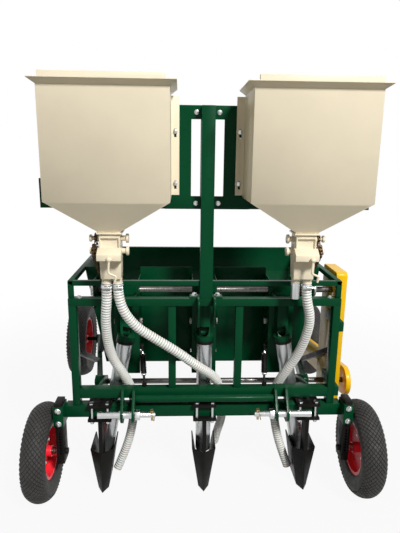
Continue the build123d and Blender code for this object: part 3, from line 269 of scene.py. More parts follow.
def oiled_steel(name, dark, light, rough):
    """Oiled steel: dark metal with brown oil film in patches."""
    material, tree, coords = start_material(name)
    base = mixed(tree, noise(tree, coords, 12, 6.0), opaque(dark), opaque(light))
    return dress(material, base, roughness_between(tree, coords, 8, rough - 0.1, rough + 0.12),
                 grain(tree, coords, 3, 0.12, 0.2), {"Metallic": 0.85})


def belt_and_cups(rgb):
    """Ribbed black belt with moulded cups: the cups are all that stands out past the belt's face."""
    material, tree, coords = start_material("rubber_belt_with_moulded_cups")
    low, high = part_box("cup_belts")
    along = node(tree, "ShaderNodeSeparateXYZ", {"Vector": coords}).outputs["Y"]
    away = maths(tree, "ABSOLUTE", maths(tree, "SUBTRACT", along, (low.y + high.y) / 2))
    is_cup = maths(tree, "GREATER_THAN", away, BELT_FACE)
    base = mixed(tree, is_cup, shades(tree, coords, linear("#1C1B1A"), 20, 0.2), shades(tree, coords, rgb, 30, 0.1))
    return dress(material, base, roughness_between(tree, coords, 15, 0.42, 0.6), grain(tree, coords, 3, 0.15, 0.25))


def plain_plastic(name, code, rough):
    """Moulded plastic: even colour, fine moulding grain."""
    material, tree, coords = start_material(name)
    return dress(material, shades(tree, coords, linear(code), 25, 0.06),
                 roughness_between(tree, coords, 12, rough - 0.05, rough + 0.08), grain(tree, coords, 2.5, 0.1, 0.15))


def brass_wire():
    """Yellow passivated spring wire: warm metal that drifts a little lighter and darker in small patches."""
    material, tree, coords = start_material("yellow_passivated_wire")
    return dress(material, shades(tree, coords, linear("#B39B6C"), 6, 0.2),
                 roughness_between(tree, coords, 5, 0.25, 0.4), grain(tree, coords, 2, 0.08, 0.1), {"Metallic": 1.0})


FINISH = {}
EDGE_GROUP = "smooth_but_for_edges"

GREEN_NODES = ("toolbar", "frame_rails", "frame_posts", "rim_side_rails", "rim_cross_rails", "mast",
               "top_link_plates", "hitch_plates", "hitch_cross_tube", "hopper_carrier", "carrier_bar", "seed_bin",
               "frame_brackets", "leg_sleeves", "row_unit_left", "row_unit_centre", "row_unit_right", "chutes",
               "rear_arms")
CREAM_NODES = ("hopper_left", "hopper_right", "lid_left", "lid_right")
BLACK_NODES = ("opener_clamps", "arm_braces", "wheel_legs", "tension_rods")
ZINC_NODES = ("hitch_pins", "clamp_bolts", "shaft_bearings", "idler_pulleys")
TUBE_NODES = ("outlet_stub",)
SHAFT_NODES = ("drive_shaft", "jackshaft")
YELLOW_NODES = ("chain_guard", "wheel_chain_guard")
RIM_NODES = tuple(where + "_rim" for where in WHEELS)


def edge_softener():
    """Geometry nodes that shade a mesh smooth except across its sharp edges."""
    group = bpy.data.node_groups.new(EDGE_GROUP, "GeometryNodeTree")
    group.interface.new_socket("Geometry", in_out="INPUT", socket_type="NodeSocketGeometry")
    group.interface.new_socket("Geometry", in_out="OUTPUT", socket_type="NodeSocketGeometry")
    source = node(group, "NodeGroupInput").outputs[0]
    cleared = node(group, "GeometryNodeRemoveAttribute", {"Geometry": source, "Name": "custom_normal"})
    angle = node(group, "GeometryNodeInputMeshEdgeAngle").outputs["Unsigned Angle"]
    gentle = node(group, "FunctionNodeCompare", {0: angle, 1: math.radians(38)}, operation="LESS_THAN")
    faces = node(group, "GeometryNodeSetShadeSmooth", {0: cleared.outputs[0]}, domain="FACE")
    edges = node(group, "GeometryNodeSetShadeSmooth", {0: faces.outputs[0], 2: gentle.outputs[0]}, domain="EDGE")
    node(group, "NodeGroupOutput", {0: edges.outputs[0]})


def soften(piece, width):
    """Small rounded edges, as on folded sheet and sawn tube."""
    weld = piece.modifiers.new("weld", "WELD")
    weld.merge_threshold = 0.01 * MM
    bevel = piece.modifiers.new("edge", "BEVEL")
    bevel.width = width * MM
    bevel.segments = 2
    bevel.limit_method = "ANGLE"
    bevel.angle_limit = math.radians(40)
    bevel.harden_normals = False
    smooth = piece.modifiers.new("smooth", "NODES")
    smooth.node_group = bpy.data.node_groups[EDGE_GROUP]


def coat(names, material):
    """Gives CAD nodes their finish."""
    for name in names:
        mesh = NODES[name].data
        mesh.materials.clear()
        mesh.materials.append(material)


def finish_piece(bm, name, material, body, smooth=40):
    """Turns a bmesh into a piece that rides on a body."""
    mesh = bpy.data.meshes.new(name)
    limit = math.radians(smooth)
    for face in bm.faces:
        face.smooth = True
    for edge in bm.edges:
        edge.smooth = len(edge.link_faces) == 2 and edge.calc_face_angle(0) < limit
    bm.to_mesh(mesh)
    bm.free()
    mesh.materials.append(material)
    piece = bpy.data.objects.new(name, mesh)
    bpy.context.scene.collection.objects.link(piece)
    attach(piece, body)
    return piece


def turn_to(axis):
    """Rotation that takes Z to an axis."""
    return Vector((0, 0, 1)).rotation_difference(Vector(axis)).to_matrix().to_4x4()


def edges_among(verts):
    """Edges that join some vertices to each other, in a fixed order."""
    chosen = set(verts)
    return list(dict.fromkeys(e for v in verts for e in v.link_edges if e.other_vert(v) in chosen))


def add_prism(bm, spot, axis, radius, depth, sides, spin=0.0, chamfer=0.0):
    """A prism standing on a spot along an axis, its far end chamfered if asked."""
    matrix = Matrix.Translation(spot) @ turn_to(axis) @ Matrix.Rotation(spin, 4, "Z")
    matrix = matrix @ Matrix.Translation((0, 0, depth / 2))
    made = bmesh.ops.create_cone(bm, cap_ends=True, segments=sides, radius1=radius, radius2=radius, depth=depth,
                                 matrix=matrix)
    if chamfer:
        end = spot + Vector(axis).normalized() * depth
        way = Vector(axis).normalized()
        verts = [v for v in made["verts"] if abs((v.co - end).dot(way)) < depth * 0.01]
        bmesh.ops.bevel(bm, geom=edges_among(verts), offset=chamfer, segments=2, profile=0.5, affect="EDGES",
                        material=-1)
    return made["verts"]


def add_block(bm, low, high):
    """A block between two corners."""
    size = high - low
    matrix = Matrix.Translation((low + high) / 2) @ Matrix.Diagonal((*size, 1))
    return bmesh.ops.create_cube(bm, size=1.0, matrix=matrix)["verts"]


def add_slab(bm, outline, reach):
    """A flat outline drawn out by a reach; gives back the far corners."""
    face = bm.faces.new([bm.verts.new(corner) for corner in outline])
    made = bmesh.ops.extrude_face_region(bm, geom=[face])["geom"]
    far = [g for g in made if isinstance(g, bmesh.types.BMVert)]
    bmesh.ops.translate(bm, verts=far, vec=reach)
    return far


def add_tube(bm, start, axis, outer, inner, length, sides):
    """An open tube along an axis."""
    known = set(bm.verts)
    corners = ((outer, 0), (outer, length), (inner, length), (inner, 0))
    verts = [bm.verts.new((r, 0, h)) for r, h in corners]
    edges = [bm.edges.new(pair) for pair in zip(verts, verts[1:] + verts[:1])]
    bmesh.ops.spin(bm, geom=verts + edges, angle=2 * math.pi, steps=sides, axis=(0, 0, 1), cent=(0, 0, 0),
                   use_merge=True)
    made = [v for v in bm.verts if v not in known]
    bmesh.ops.transform(bm, matrix=Matrix.Translation(start) @ turn_to(axis), verts=made)


def add_bolt(bm, spot, axis, flat, spin=0.0):
    """Hexagon bolt head with its washer and a domed end."""
    way = Vector(axis).normalized()
    add_prism(bm, spot, way, flat * 0.72, flat * 0.11, 24, chamfer=flat * 0.03)
    add_prism(bm, spot + way * flat * 0.11, way, flat * 0.577, flat * 0.42, 6, spin, chamfer=flat * 0.05)
    add_prism(bm, spot + way * flat * 0.53, way, flat * 0.28, flat * 0.14, 14, chamfer=flat * 0.05)


def sweep_rings(bm, places, radii, sides, marks):
    """Draws a ring along places, extruding it from one to the next, with a radius and a mark at each; the mark sets
    how much painted shade of a hose groove the ring carries.
    """
    layers = bm.verts.layers.float
    # This layer holds painted shade for the hose's grooves and bore.
    groove = layers.get("groove") or layers.new("groove")
    way = (places[1] - places[0]).normalized()
    turn = turn_to(way)
    spots = []
    for k, spot in enumerate(places):
        ahead = (places[min(k + 1, len(places) - 1)] - places[max(k - 1, 0)]).normalized()
        turn = way.rotation_difference(ahead).to_matrix().to_4x4() @ turn
        way = ahead
        spots.append(Matrix.Translation(spot) @ turn @ Matrix.Scale(radii[k], 4))
    ring = bmesh.ops.create_circle(bm, segments=sides, radius=1.0, matrix=spots[0])["verts"]
    for vert in ring:
        vert[groove] = marks[0]
    for before, after, mark in zip(spots[:-1], spots[1:], marks[1:]):
        made = bmesh.ops.extrude_edge_only(bm, edges=edges_among(ring))["geom"]
        ring = [g for g in made if isinstance(g, bmesh.types.BMVert)]
        bmesh.ops.transform(bm, matrix=after @ before.inverted(), verts=ring)
        for vert in ring:
            vert[groove] = mark


def spaced(points, step):
    """Points at even steps along a line of points."""
    lengths = [0.0]
    for a, b in zip(points[:-1], points[1:]):
        lengths.append(lengths[-1] + (b - a).length)
    count = max(2, round(lengths[-1] / step))
    made = []
    k = 0
    for i in range(count + 1):
        want = lengths[-1] * i / count
        while k < len(points) - 2 and lengths[k + 1] < want:
            k += 1
        share = (want - lengths[k]) / max(1e-9, lengths[k + 1] - lengths[k])
        made.append(points[k].lerp(points[k + 1], share))
    return made, lengths[-1]


HOSES = {
    "hose_left": ((-377, -88.5, 946), (-377, -88.5, 888), (-388, -75.5, 796), (-388, -43.5, 692), (-374, -8, 600),
                  (-337, 14, 531), (-304, 64, 429), (-300, 64, 326), (-316, 64, 226), (-344, 62, 134),
                  (-378, 60, 54)),
    "hose_centre": ((-335, -88.5, 946), (-335, -88.5, 896), (-318, -84, 830), (-272, -70, 762), (-196, -56, 706),
                    (-112, -46, 648), (-40, -24, 582), (46, 30, 505), (70, 68, 427), (84, 74, 345), (82, 104, 262),
                    (68, 142, 186), (58, 168, 112)),
    "hose_right": ((377, -88.5, 946), (377, -88.5, 888), (406, -75.5, 800), (398, -47.5, 704), (374, -10, 606),
                   (337, 14, 532), (304, 64, 430), (306, 64, 332), (322, 64, 230), (350, 62, 136), (380, 60, 56)),
}
HOSE_RADIUS = 19 * MM


def route_line(name, points):
    """Smooth line along a route of points, read from its spline."""
    curve = bpy.data.curves.new(name + "_route", "CURVE")
    curve.dimensions = "3D"
    curve.resolution_u = 24
    spline = curve.splines.new("NURBS")
    spline.points.add(len(points) - 1)
    for knot, point in zip(spline.points, points):
        knot.co = (*place(*point), 1.0)
    spline.order_u = 3
    spline.use_endpoint_u = True
    holder = bpy.data.objects.new(name + "_route", curve)
    mesh = bpy.data.meshes.new_from_object(holder)
    line = [v.co.copy() for v in mesh.vertices]
    bpy.data.objects.remove(holder)
    bpy.data.meshes.remove(mesh)
    bpy.data.curves.remove(curve)
    return line


class PLANTER_OT_paint(bpy.types.Operator):
    """Paint, plate and polish the machine's own parts"""
    bl_idname = "planter.paint"
    bl_label = "Paint the machine"

    def execute(self, context):
        tint = context.scene.planter_colours
        FINISH["green"] = sprayed_enamel("green_sprayed_enamel", list(tint.green), 0.30, 0.05, "#5E6E5A", 0.08)
        FINISH["cream"] = sprayed_enamel("cream_sprayed_enamel", list(tint.cream), 0.36, 0.25, "#BFB08E", 0.25)
        FINISH["yellow"] = sprayed_enamel("yellow_sprayed_enamel", list(tint.yellow), 0.32, 0.2, "#B79B45", 0.25)
        FINISH["red"] = sprayed_enamel("red_sprayed_enamel", list(tint.red), 0.30, 0.2, "#8E4A3E", 0.2)
        FINISH["black"] = black_satin(list(tint.black))
        FINISH["zinc"] = plated_zinc()
        FINISH["tube"] = drawn_tube()
        FINISH["shaft"] = oiled_steel("bright_drawn_shaft_steel", "#4C4A48", "#85827E", 0.34)
        FINISH["chain"] = oiled_steel("oiled_roller_chain", "#2A221A", "#6A5439", 0.42)
        FINISH["rubber"] = tyre_rubber(list(tint.rubber))
        FINISH["hose"] = hose_vinyl(list(tint.hose))
        FINISH["cups"] = belt_and_cups(list(tint.cup))
        FINISH["nylon"] = plain_plastic("turned_nylon_bush", "#E2DFD3", 0.45)
        FINISH["brass"] = brass_wire()
        edge_softener()
        # nodes, finish, width of the rounded edge in millimetres
        coats = ((GREEN_NODES, "green", 1.2), (CREAM_NODES, "cream", 0.9), (BLACK_NODES, "black", 0.8),
                 (ZINC_NODES, "zinc", 0.7), (TUBE_NODES, "tube", 0.6), (SHAFT_NODES, "shaft", 0.8),
                 (YELLOW_NODES, "yellow", 1.2), (RIM_NODES, "red", 1.0), (("cup_belts",), "cups", 0.5),
                 (("belt_guides",), "nylon", 0.8))
        for names, finish, edge in coats:
            coat(names, FINISH[finish])
            for name in names:
                soften(NODES[name], edge)
        return {"FINISHED"}


class PLANTER_OT_hoses(bpy.types.Operator):
    """Ribbed fertiliser hoses with open lower ends"""
    bl_idname = "planter.hoses"
    bl_label = "Hang the hoses"

    def execute(self, context):
        sizes = context.scene.planter_sizes
        for name, points in HOSES.items():
            line = route_line(name, points)
            places = spaced(line, sizes.rib_pitch / 6)[0]
            # A mark of 1 sits deepest in a groove and gets the full painted shade.
            marks = [(0.0, 0.0, 0.12, 1.0, 1.0, 0.12)[k % 6] for k in range(len(places))]
            radii = [HOSE_RADIUS - sizes.rib_depth * mark for mark in marks]
            bm = bmesh.new()
            bore = HOSE_RADIUS - 3.2 * MM
            inner = [places[-1]] + places[-2:-40:-3]
            extra = [bore] * len(inner)
            # The bore inside the open end is marked 1, so it is painted in shade.
            sweep_rings(bm, places + inner, radii + extra, 28, marks + [1.0] * len(inner))
            bmesh.ops.holes_fill(bm, edges=bm.edges, sides=40)
            bmesh.ops.recalc_face_normals(bm, faces=bm.faces)
            piece = finish_piece(bm, name + "_ribbed", FINISH["hose"], "frame", 70)
            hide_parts(name)
            [list(p) for p in spaced(line, 0.01)[0]]
        return {"FINISHED"}


# Openers, in millimetres: a shoe between two heights, its half widths there, and where it ends fore and aft.
ROW_X = 431
OPENERS = {"opener_left": -ROW_X, "opener_centre": 0, "opener_right": ROW_X}
SHOE_LOW, SHOE_TOP = 6, 190
SHOE_LOW_HALF, SHOE_TOP_HALF = 22, 51
SHOE_NOSE_Y, SHOE_CHEEK_Y, SHOE_BACK_Y = -45, -6, 130
SHOE_PLATE = 5
SHANK_LOW, PLATE_LOW, PLATE_TOP = 110, 342, 353

# Seed tubes: the right one's top and foot, radii, and where the ring sits below the top.
TUBE_TOP, TUBE_FOOT = (328, 61, 671), (ROW_X, 91, 132)
TUBE_OUTER, TUBE_BORE = 32.5, 30
RING_OUTER, RING_BORE, RING_DROP, RING_LENGTH = 38, 36.6, 9, 13

# Meters: middle and foot, heights of the two shafts, and the turned pieces on each shaft.
METER_X, METER_Y, METER_BASE = 356, -88.5, 965
DRIVEN_Z = 1066
METER_SHAFTS = (DRIVEN_Z, 1113)
# start from the middle (outward is positive), radius, length, sides, chamfer
SHAFT_PIECES = ((-36, 10, 22, 24, 1), (-56, 17, 9.5, 28, 2), (36, 13, 12, 24, 1), (46, 8, 24, 20, 1),
                (68, 13, 9, 24, 2))
METER_LEDGE = ((-120, 1084), (-130, 1084), (-160, 1064), (-160, 1042), (-120, 1034))
LEVERS = {"meter_left": -354, "meter_right": 374}
LEVER_HUB_Y, LEVER_HUB_Z = -166, 1049
LEVER_BENDS = ((0, -168, 1049), (-1, -169, 1026), (-3, -170, 1004), (2, -170, 998), (14, -170, 993),
               (23, -170, 989), (24, -170, 984), (19, -170, 968))


class PLANTER_OT_openers(bpy.types.Operator):
    """Furrow openers: boat-shaped shoes of plate on flat shanks"""
    bl_idname = "planter.openers"
    bl_label = "Fit the furrow openers"

    def execute(self, context):
        half = SHOE_LOW_HALF
        corners = ((0, SHOE_NOSE_Y), (half, SHOE_CHEEK_Y), (half, SHOE_BACK_Y), (-half, SHOE_BACK_Y),
                   (-half, SHOE_CHEEK_Y))
        back = place(0, SHOE_BACK_Y - 1, 0).y
        for name, x in OPENERS.items():
            bm = bmesh.new()
            foot = [place(x + u, y, SHOE_LOW) for u, y in corners]
            for vert in add_slab(bm, foot, Vector((0, 0, (SHOE_TOP - SHOE_LOW) * MM))):
                vert.co.x = x * MM + (vert.co.x - x * MM) * SHOE_TOP_HALF / SHOE_LOW_HALF
            bm.normal_update()
            open_sides = [f for f in bm.faces if abs(f.normal.z) > 0.9 or f.calc_center_median().y > back]
            bmesh.ops.delete(bm, geom=open_sides, context="FACES")
            bmesh.ops.recalc_face_normals(bm, faces=bm.faces)
            bmesh.ops.solidify(bm, geom=bm.faces[:], thickness=SHOE_PLATE * MM)
            add_block(bm, place(x - 8, -40, SHANK_LOW), place(x + 8, 20, PLATE_LOW))
            add_block(bm, place(x - 48, -48, PLATE_LOW), place(x + 48, 42, PLATE_TOP))
            piece = finish_piece(bm, name + "_shoe", FINISH["black"], "frame", 30)
            soften(piece, 0.8)
            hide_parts(name)
        return {"FINISHED"}


class PLANTER_OT_seed_tubes(bpy.types.Operator):
    """Drawn seed tubes that end inside the shoes, each with a rubber ring at its top"""
    bl_idname = "planter.seed_tubes"
    bl_label = "Fit the seed tubes"

    def execute(self, context):
        tubes = bmesh.new()
        rings = bmesh.new()
        for side in (-1, 0, 1):
            top, low = (place(side * x, y, z) for x, y, z in (TUBE_TOP, TUBE_FOOT))
            run = low - top
            way = run.normalized()
            add_tube(tubes, top, way, TUBE_OUTER * MM, TUBE_BORE * MM, run.length, 56)
            add_tube(rings, top + way * RING_DROP * MM, way, RING_OUTER * MM, RING_BORE * MM, RING_LENGTH * MM, 56)
        for bm in (tubes, rings):
            bmesh.ops.remove_doubles(bm, verts=bm.verts, dist=0.01 * MM)
            bmesh.ops.recalc_face_normals(bm, faces=bm.faces)
        piece = finish_piece(tubes, "seed_tubes_drawn", FINISH["tube"], "frame")
        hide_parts("seed_tubes")
        finish_piece(rings, "seed_tube_rings", FINISH["black"], "frame")
        return {"FINISHED"}


class PLANTER_OT_meters(bpy.types.Operator):
    """Cast fertiliser meters with windows, ledges, capped shafts and bent crank levers"""
    bl_idname = "planter.meters"
    bl_label = "Fit the fertiliser meters"

    def execute(self, context):
        levers = bmesh.new()
        for side, (name, lever_x) in zip(SIDES, LEVERS.items()):
            middle = side * METER_X
            bm = bmesh.new()
            self.window_box(bm, middle)
            add_block(bm, place(middle - 45, -136.5, 1134), place(middle + 45, -40.5, 1139.6))
            add_slab(bm, [place(middle - 43, y, z) for y, z in METER_LEDGE], Vector((86 * MM, 0, 0)))
            centre = place(middle, METER_Y, METER_BASE)
            for vert in add_block(bm, place(middle - 40, -122, METER_BASE), place(middle + 40, -55, 1074)):
                if vert.co.z < centre.z + 1 * MM:
                    vert.co.x = centre.x + (vert.co.x - centre.x) * 0.92
                    vert.co.y = centre.y + (vert.co.y - centre.y) * 0.86
            bmesh.ops.recalc_face_normals(bm, faces=bm.faces)
            for x in (middle - 21, middle + 21):
                add_prism(bm, place(x, METER_Y, 946), (0, 0, 1), 17 * MM, 22 * MM, 28)
            for z in METER_SHAFTS:
                for start, radius, depth, sides, chamfer in SHAFT_PIECES:
                    axis = (math.copysign(side, side * start), 0, 0)
                    add_prism(bm, place(middle + side * start, METER_Y, z), axis, radius * MM, depth * MM, sides,
                              chamfer=chamfer * MM)
            piece = finish_piece(bm, name + "_casting", FINISH["cream"], "frame", 30)
            soften(piece, 1.6)
            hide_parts(name)
            self.lever(levers, lever_x)
        bmesh.ops.holes_fill(levers, edges=levers.edges, sides=16)
        bmesh.ops.recalc_face_normals(levers, faces=levers.faces)
        piece = finish_piece(levers, "meter_crank_levers", FINISH["cream"], "frame")
        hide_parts("meter_levers")
        return {"FINISHED"}

    def window_box(self, bm, middle):
        """Upper box with a sunk window in its front."""
        add_block(bm, place(middle - 37, -128.5, 1070), place(middle + 37, -48.5, 1134))
        front = min(bm.faces, key=lambda face: face.calc_center_median().y)
        bmesh.ops.inset_region(bm, faces=[front], thickness=6.5 * MM)
        middle_z = front.calc_center_median().z
        for vert in front.verts:
            if vert.co.z > middle_z:
                vert.co.z -= 11 * MM
            else:
                vert.co.z += 8 * MM
        bmesh.ops.inset_region(bm, faces=[front], thickness=1 * MM, depth=-9 * MM)

    def lever(self, bm, x):
        """Crank lever bent twice, on a ball-shaped hub."""
        hub = place(x, LEVER_HUB_Y, LEVER_HUB_Z)
        bmesh.ops.create_uvsphere(bm, u_segments=24, v_segments=14, radius=10 * MM, matrix=Matrix.Translation(hub))
        line = spaced(route_line("crank", [(x + u, y, z) for u, y, z in LEVER_BENDS]), 2 * MM)[0]
        sweep_rings(bm, line, [4 * MM] * len(line), 12, [0.0] * len(line))


class PLANTER_OT_tyres(bpy.types.Operator):
    """Tyres with diamond tread blocks and ribbed side walls"""
    bl_idname = "planter.tyres"
    bl_label = "Fit the tyres"

    def execute(self, context):
        sizes = context.scene.planter_sizes
        for where in WHEELS:
            low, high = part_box(where + "_tyre")
            rim_low, rim_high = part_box(where + "_rim")
            hub = (low + high) / 2
            outer = (high.z - low.z) / 2
            half = (high.x - low.x) / 2
            bead = (rim_high.z - rim_low.z) / 2 - 9.5 * MM
            seat = min(0.5 * (rim_high.x - rim_low.x), half * 0.8) - 5 * MM
            carcass = outer - sizes.tread
            middle = (bead + outer) / 2
            crown = 19.2 * MM
            rise = carcass - crown - middle
            bend = ((0.86 * half) ** 2 + crown ** 2) / (2 * crown)
            outline = [(-seat, bead), (-seat, bead + 10 * MM), (-0.80 * half, bead + 16 * MM),
                       (-0.82 * half, bead + 20 * MM), (-0.91 * half, middle - 12 * MM),
                       (-0.985 * half, middle + 0.1 * rise), (-0.965 * half, middle + 0.55 * rise),
                       (-0.92 * half, middle + 0.85 * rise)]
            for share in (0.86, 0.7, 0.52, 0.34, 0.17):
                outline.append((-share * half, carcass - bend + math.sqrt(bend ** 2 - (share * half) ** 2)))
            outline += [(0.0, carcass)] + [(-x, r) for x, r in reversed(outline)]
            bm = bmesh.new()
            verts = [bm.verts.new((x, 0, r)) for x, r in outline]
            edges = [bm.edges.new(pair) for pair in zip(verts, verts[1:] + verts[:1])]
            bmesh.ops.spin(bm, geom=verts + edges, angle=2 * math.pi, steps=112, axis=(1, 0, 0), cent=(0, 0, 0),
                           use_merge=True)
            bmesh.ops.remove_doubles(bm, verts=bm.verts, dist=0.01 * MM)
            bmesh.ops.recalc_face_normals(bm, faces=bm.faces)
            self.tread(bm, half, carcass, bend, sizes)
            bmesh.ops.translate(bm, verts=bm.verts, vec=hub)
            piece = finish_piece(bm, where + "_treaded_tyre", FINISH["rubber"], where + "_wheel", 35)
            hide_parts(where + "_tyre")
        return {"FINISHED"}

    def tread(self, bm, half, carcass, bend, sizes):
        """Rows of diamonds round the crown, each second row turned by half a pitch."""
        count = sizes.tread_count
        rows = ((0.0, 0.0), (0.16, 0.5), (0.32, 0.0), (0.475, 0.5), (0.62, 0.0), (0.745, 0.5), (0.85, 0.0))
        pitch = 2 * math.pi * carcass / count
        for share, stagger in rows:
            for side in ((1,) if share == 0.0 else SIDES):
                x = side * share * half
                drop = bend - math.sqrt(bend ** 2 - x ** 2)
                tilt = math.asin(x / bend)
                height = sizes.tread + 1.5 * MM
                spot = Matrix.Translation((x, 0, carcass - drop - 1.5 * MM)) @ Matrix.Rotation(tilt, 4, "Y")
                spot = spot @ Matrix.Diagonal((0.132 * half, 0.42 * pitch, 1, 1))
                spot = spot @ Matrix.Translation((0, 0, height / 2))
                made = bmesh.ops.create_cone(bm, cap_ends=True, segments=4, radius1=1.18, radius2=1.0, depth=height,
                                             matrix=spot)["verts"]
                bmesh.ops.rotate(bm, cent=(0, 0, 0), verts=made,
                                 matrix=Matrix.Rotation(2 * math.pi * stagger / count, 3, "X"))
                faces = list(dict.fromkeys(f for v in made for f in v.link_faces))
                for k in range(1, count):
                    copy = bmesh.ops.duplicate(bm, geom=faces)["geom"]
                    verts = [g for g in copy if isinstance(g, bmesh.types.BMVert)]
                    turn = Matrix.Rotation(2 * math.pi * k / count, 3, "X")
                    bmesh.ops.rotate(bm, cent=(0, 0, 0), verts=verts, matrix=turn)


class PLANTER_OT_wheel_fittings(bpy.types.Operator):
    """Rim bolts and valve stems"""
    bl_idname = "planter.wheel_fittings"
    bl_label = "Fit rim bolts and valves"

    def execute(self, context):
        for where in WHEELS:
            low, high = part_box(where + "_rim")
            hub = (low + high) / 2
            reach = (high.z - low.z) / 2
            side = 1 if "right" in where else -1
            bm = bmesh.new()
            for face in SIDES:
                for k in range(4):
                    turn = math.pi / 4 + k * math.pi / 2
                    spoke = Vector((0, math.cos(turn), math.sin(turn)))
                    spot = hub + spoke * reach * 0.42 + Vector((0.0055 + face * 0.0015, 0, 0))
                    add_bolt(bm, spot, (face, 0, 0), 13 * MM)
            turn = math.radians(70)
            spoke = Vector((0, math.cos(turn), math.sin(turn)))
            foot = hub + spoke * (reach - 15 * MM) + Vector((side * 4 * MM, 0, 0))
            add_prism(bm, foot, (side * 0.8, -spoke.y * 0.6, -spoke.z * 0.6), 4 * MM, 26 * MM, 12, chamfer=1 * MM)
            finish_piece(bm, where + "_rim_bolts", FINISH["zinc"], where + "_wheel")
        return {"FINISHED"}


class PLANTER_OT_fasteners(bpy.types.Operator):
    """Bolts on the mast foot, carrier, sleeves, brackets and bearings"""
    bl_idname = "planter.fasteners"
    bl_label = "Fit the fasteners"

    def execute(self, context):
        flat = context.scene.planter_sizes.bolt_flat
        bm = bmesh.new()
        rows = (
            # x, y, z, axis, size; each is repeated on the other side
            (46, 5, 868, (0, 0, 1), 1.0),
            (43, 30, 1567, (0, -1, 0), 0.75), (43, 30, 1231, (0, -1, 0), 0.75),
            (122, 27, 1306, (0, -1, 0), 0.7), (122, 27, 1497, (0, -1, 0), 0.7),
            (593, -64.3, 402, (0, -1, 0), 1.0), (593, -64.3, 346, (0, -1, 0), 1.0),
            (473, 170, 868, (1, 0, 0), 0.7), (473, 170, 824, (1, 0, 0), 0.7),
            (500, 0, 860, (0, 0, 1), 0.8),
        )
        for x, y, z, axis, size in rows:
            for side in SIDES:
                add_bolt(bm, place(side * x, y, z), (side * axis[0], axis[1], axis[2]), flat * size)
        for side in SIDES:
            add_prism(bm, place(side * 608.4, -27, 200), (side, 0, 0), 18.7 * MM, 25 * MM, 28, chamfer=1.5 * MM)
        finish_piece(bm, "frame_bolts", FINISH["zinc"], "frame")
        return {"FINISHED"}


class PLANTER_OT_linch_pins(bpy.types.Operator):
    """Sprung linch pins through the inner ends of the hitch pins"""
    bl_idname = "planter.linch_pins"
    bl_label = "Fit the linch pins"

    def execute(self, context):
        bm = bmesh.new()
        for side in SIDES:
            spot = place(side * 214.7, -72, 388)
            add_prism(bm, spot - Vector((0, 0, 24 * MM)), (0, 0, 1), 4.6 * MM, 44 * MM, 16, chamfer=1.5 * MM)
            add_prism(bm, spot + Vector((0, 0, 11.4 * MM)), (0, 0, 1), 8 * MM, 10 * MM, 16, chamfer=1.5 * MM)
            centre = spot + Vector((0, -15 * MM, 2 * MM))
            start = Matrix.Translation(centre + Vector((0, 0, 19 * MM))) @ turn_to((0, 1, 0))
            wire = bmesh.ops.create_circle(bm, segments=8, radius=1.6 * MM, matrix=start)["verts"]
            bmesh.ops.spin(bm, geom=wire + edges_among(wire), angle=2 * math.pi, steps=32, axis=(1, 0, 0.25),
                           cent=centre, use_merge=True)
        bmesh.ops.recalc_face_normals(bm, faces=bm.faces)
        finish_piece(bm, "linch_pins", FINISH["brass"], "frame")
        return {"FINISHED"}


class PLANTER_OT_hose_clamps(bpy.types.Operator):
    """Worm-drive clamps at the top of each hose"""
    bl_idname = "planter.hose_clamps"
    bl_label = "Fit the hose clamps"

    def execute(self, context):
        bm = bmesh.new()
        for points in HOSES.values():
            x, y, z = points[0]
            band = place(x, y, z - 20)
            add_prism(bm, band, (0, 0, 1), HOSE_RADIUS + 1.4 * MM, 11 * MM, 36, chamfer=0.8 * MM)
            screw = place(x + 6, y - 23, z - 14.5)
            add_prism(bm, screw - Vector((11 * MM, 0, 0)), (1, 0, 0), 5 * MM, 20 * MM, 12, chamfer=1 * MM)
            add_prism(bm, screw + Vector((9 * MM, 0, 0)), (1, 0, 0), 4.2 * MM, 6 * MM, 6, chamfer=0.8 * MM)
        finish_piece(bm, "hose_clamps", FINISH["zinc"], "frame")
        return {"FINISHED"}


class PLANTER_OT_tension_springs(bpy.types.Operator):
    """Coil springs on the tension rods"""
    bl_idname = "planter.tension_springs"
    bl_label = "Wind the tension springs"

    def execute(self, context):
        turns = 11
        steps = 20 * turns
        coils = bmesh.new()
        nuts = bmesh.new()
        for side in SIDES:
            top = place(side * 266, 122, 606)
            low = place(side * 250, 8, 475)
            run = low - top
            way = run.normalized()
            start = top + run * 0.25
            across = way.orthogonal().normalized()
            spot = Matrix.Translation(start + across * 11.5 * MM) @ turn_to(way.cross(across))
            wire = bmesh.ops.create_circle(coils, segments=8, radius=1.8 * MM, matrix=spot)["verts"]
            bmesh.ops.spin(coils, geom=wire + edges_among(wire), angle=2 * math.pi * turns, steps=steps, axis=way,
                           cent=start, dvec=way * (run.length * 0.45 / steps))
            for share in (0.2, 0.73):
                add_prism(nuts, top + run * share, way, 10 * MM, 3 * MM, 20, chamfer=0.8 * MM)
                ball = Matrix.Translation(top + run * (share - 0.03))
                bmesh.ops.create_uvsphere(nuts, u_segments=18, v_segments=12, radius=7.5 * MM, matrix=ball)
        bmesh.ops.holes_fill(coils, edges=coils.edges, sides=12)
        bmesh.ops.recalc_face_normals(coils, faces=coils.faces)
        finish_piece(coils, "tension_springs", FINISH["black"], "frame")
        finish_piece(nuts, "tension_nuts", FINISH["zinc"], "frame")
        return {"FINISHED"}


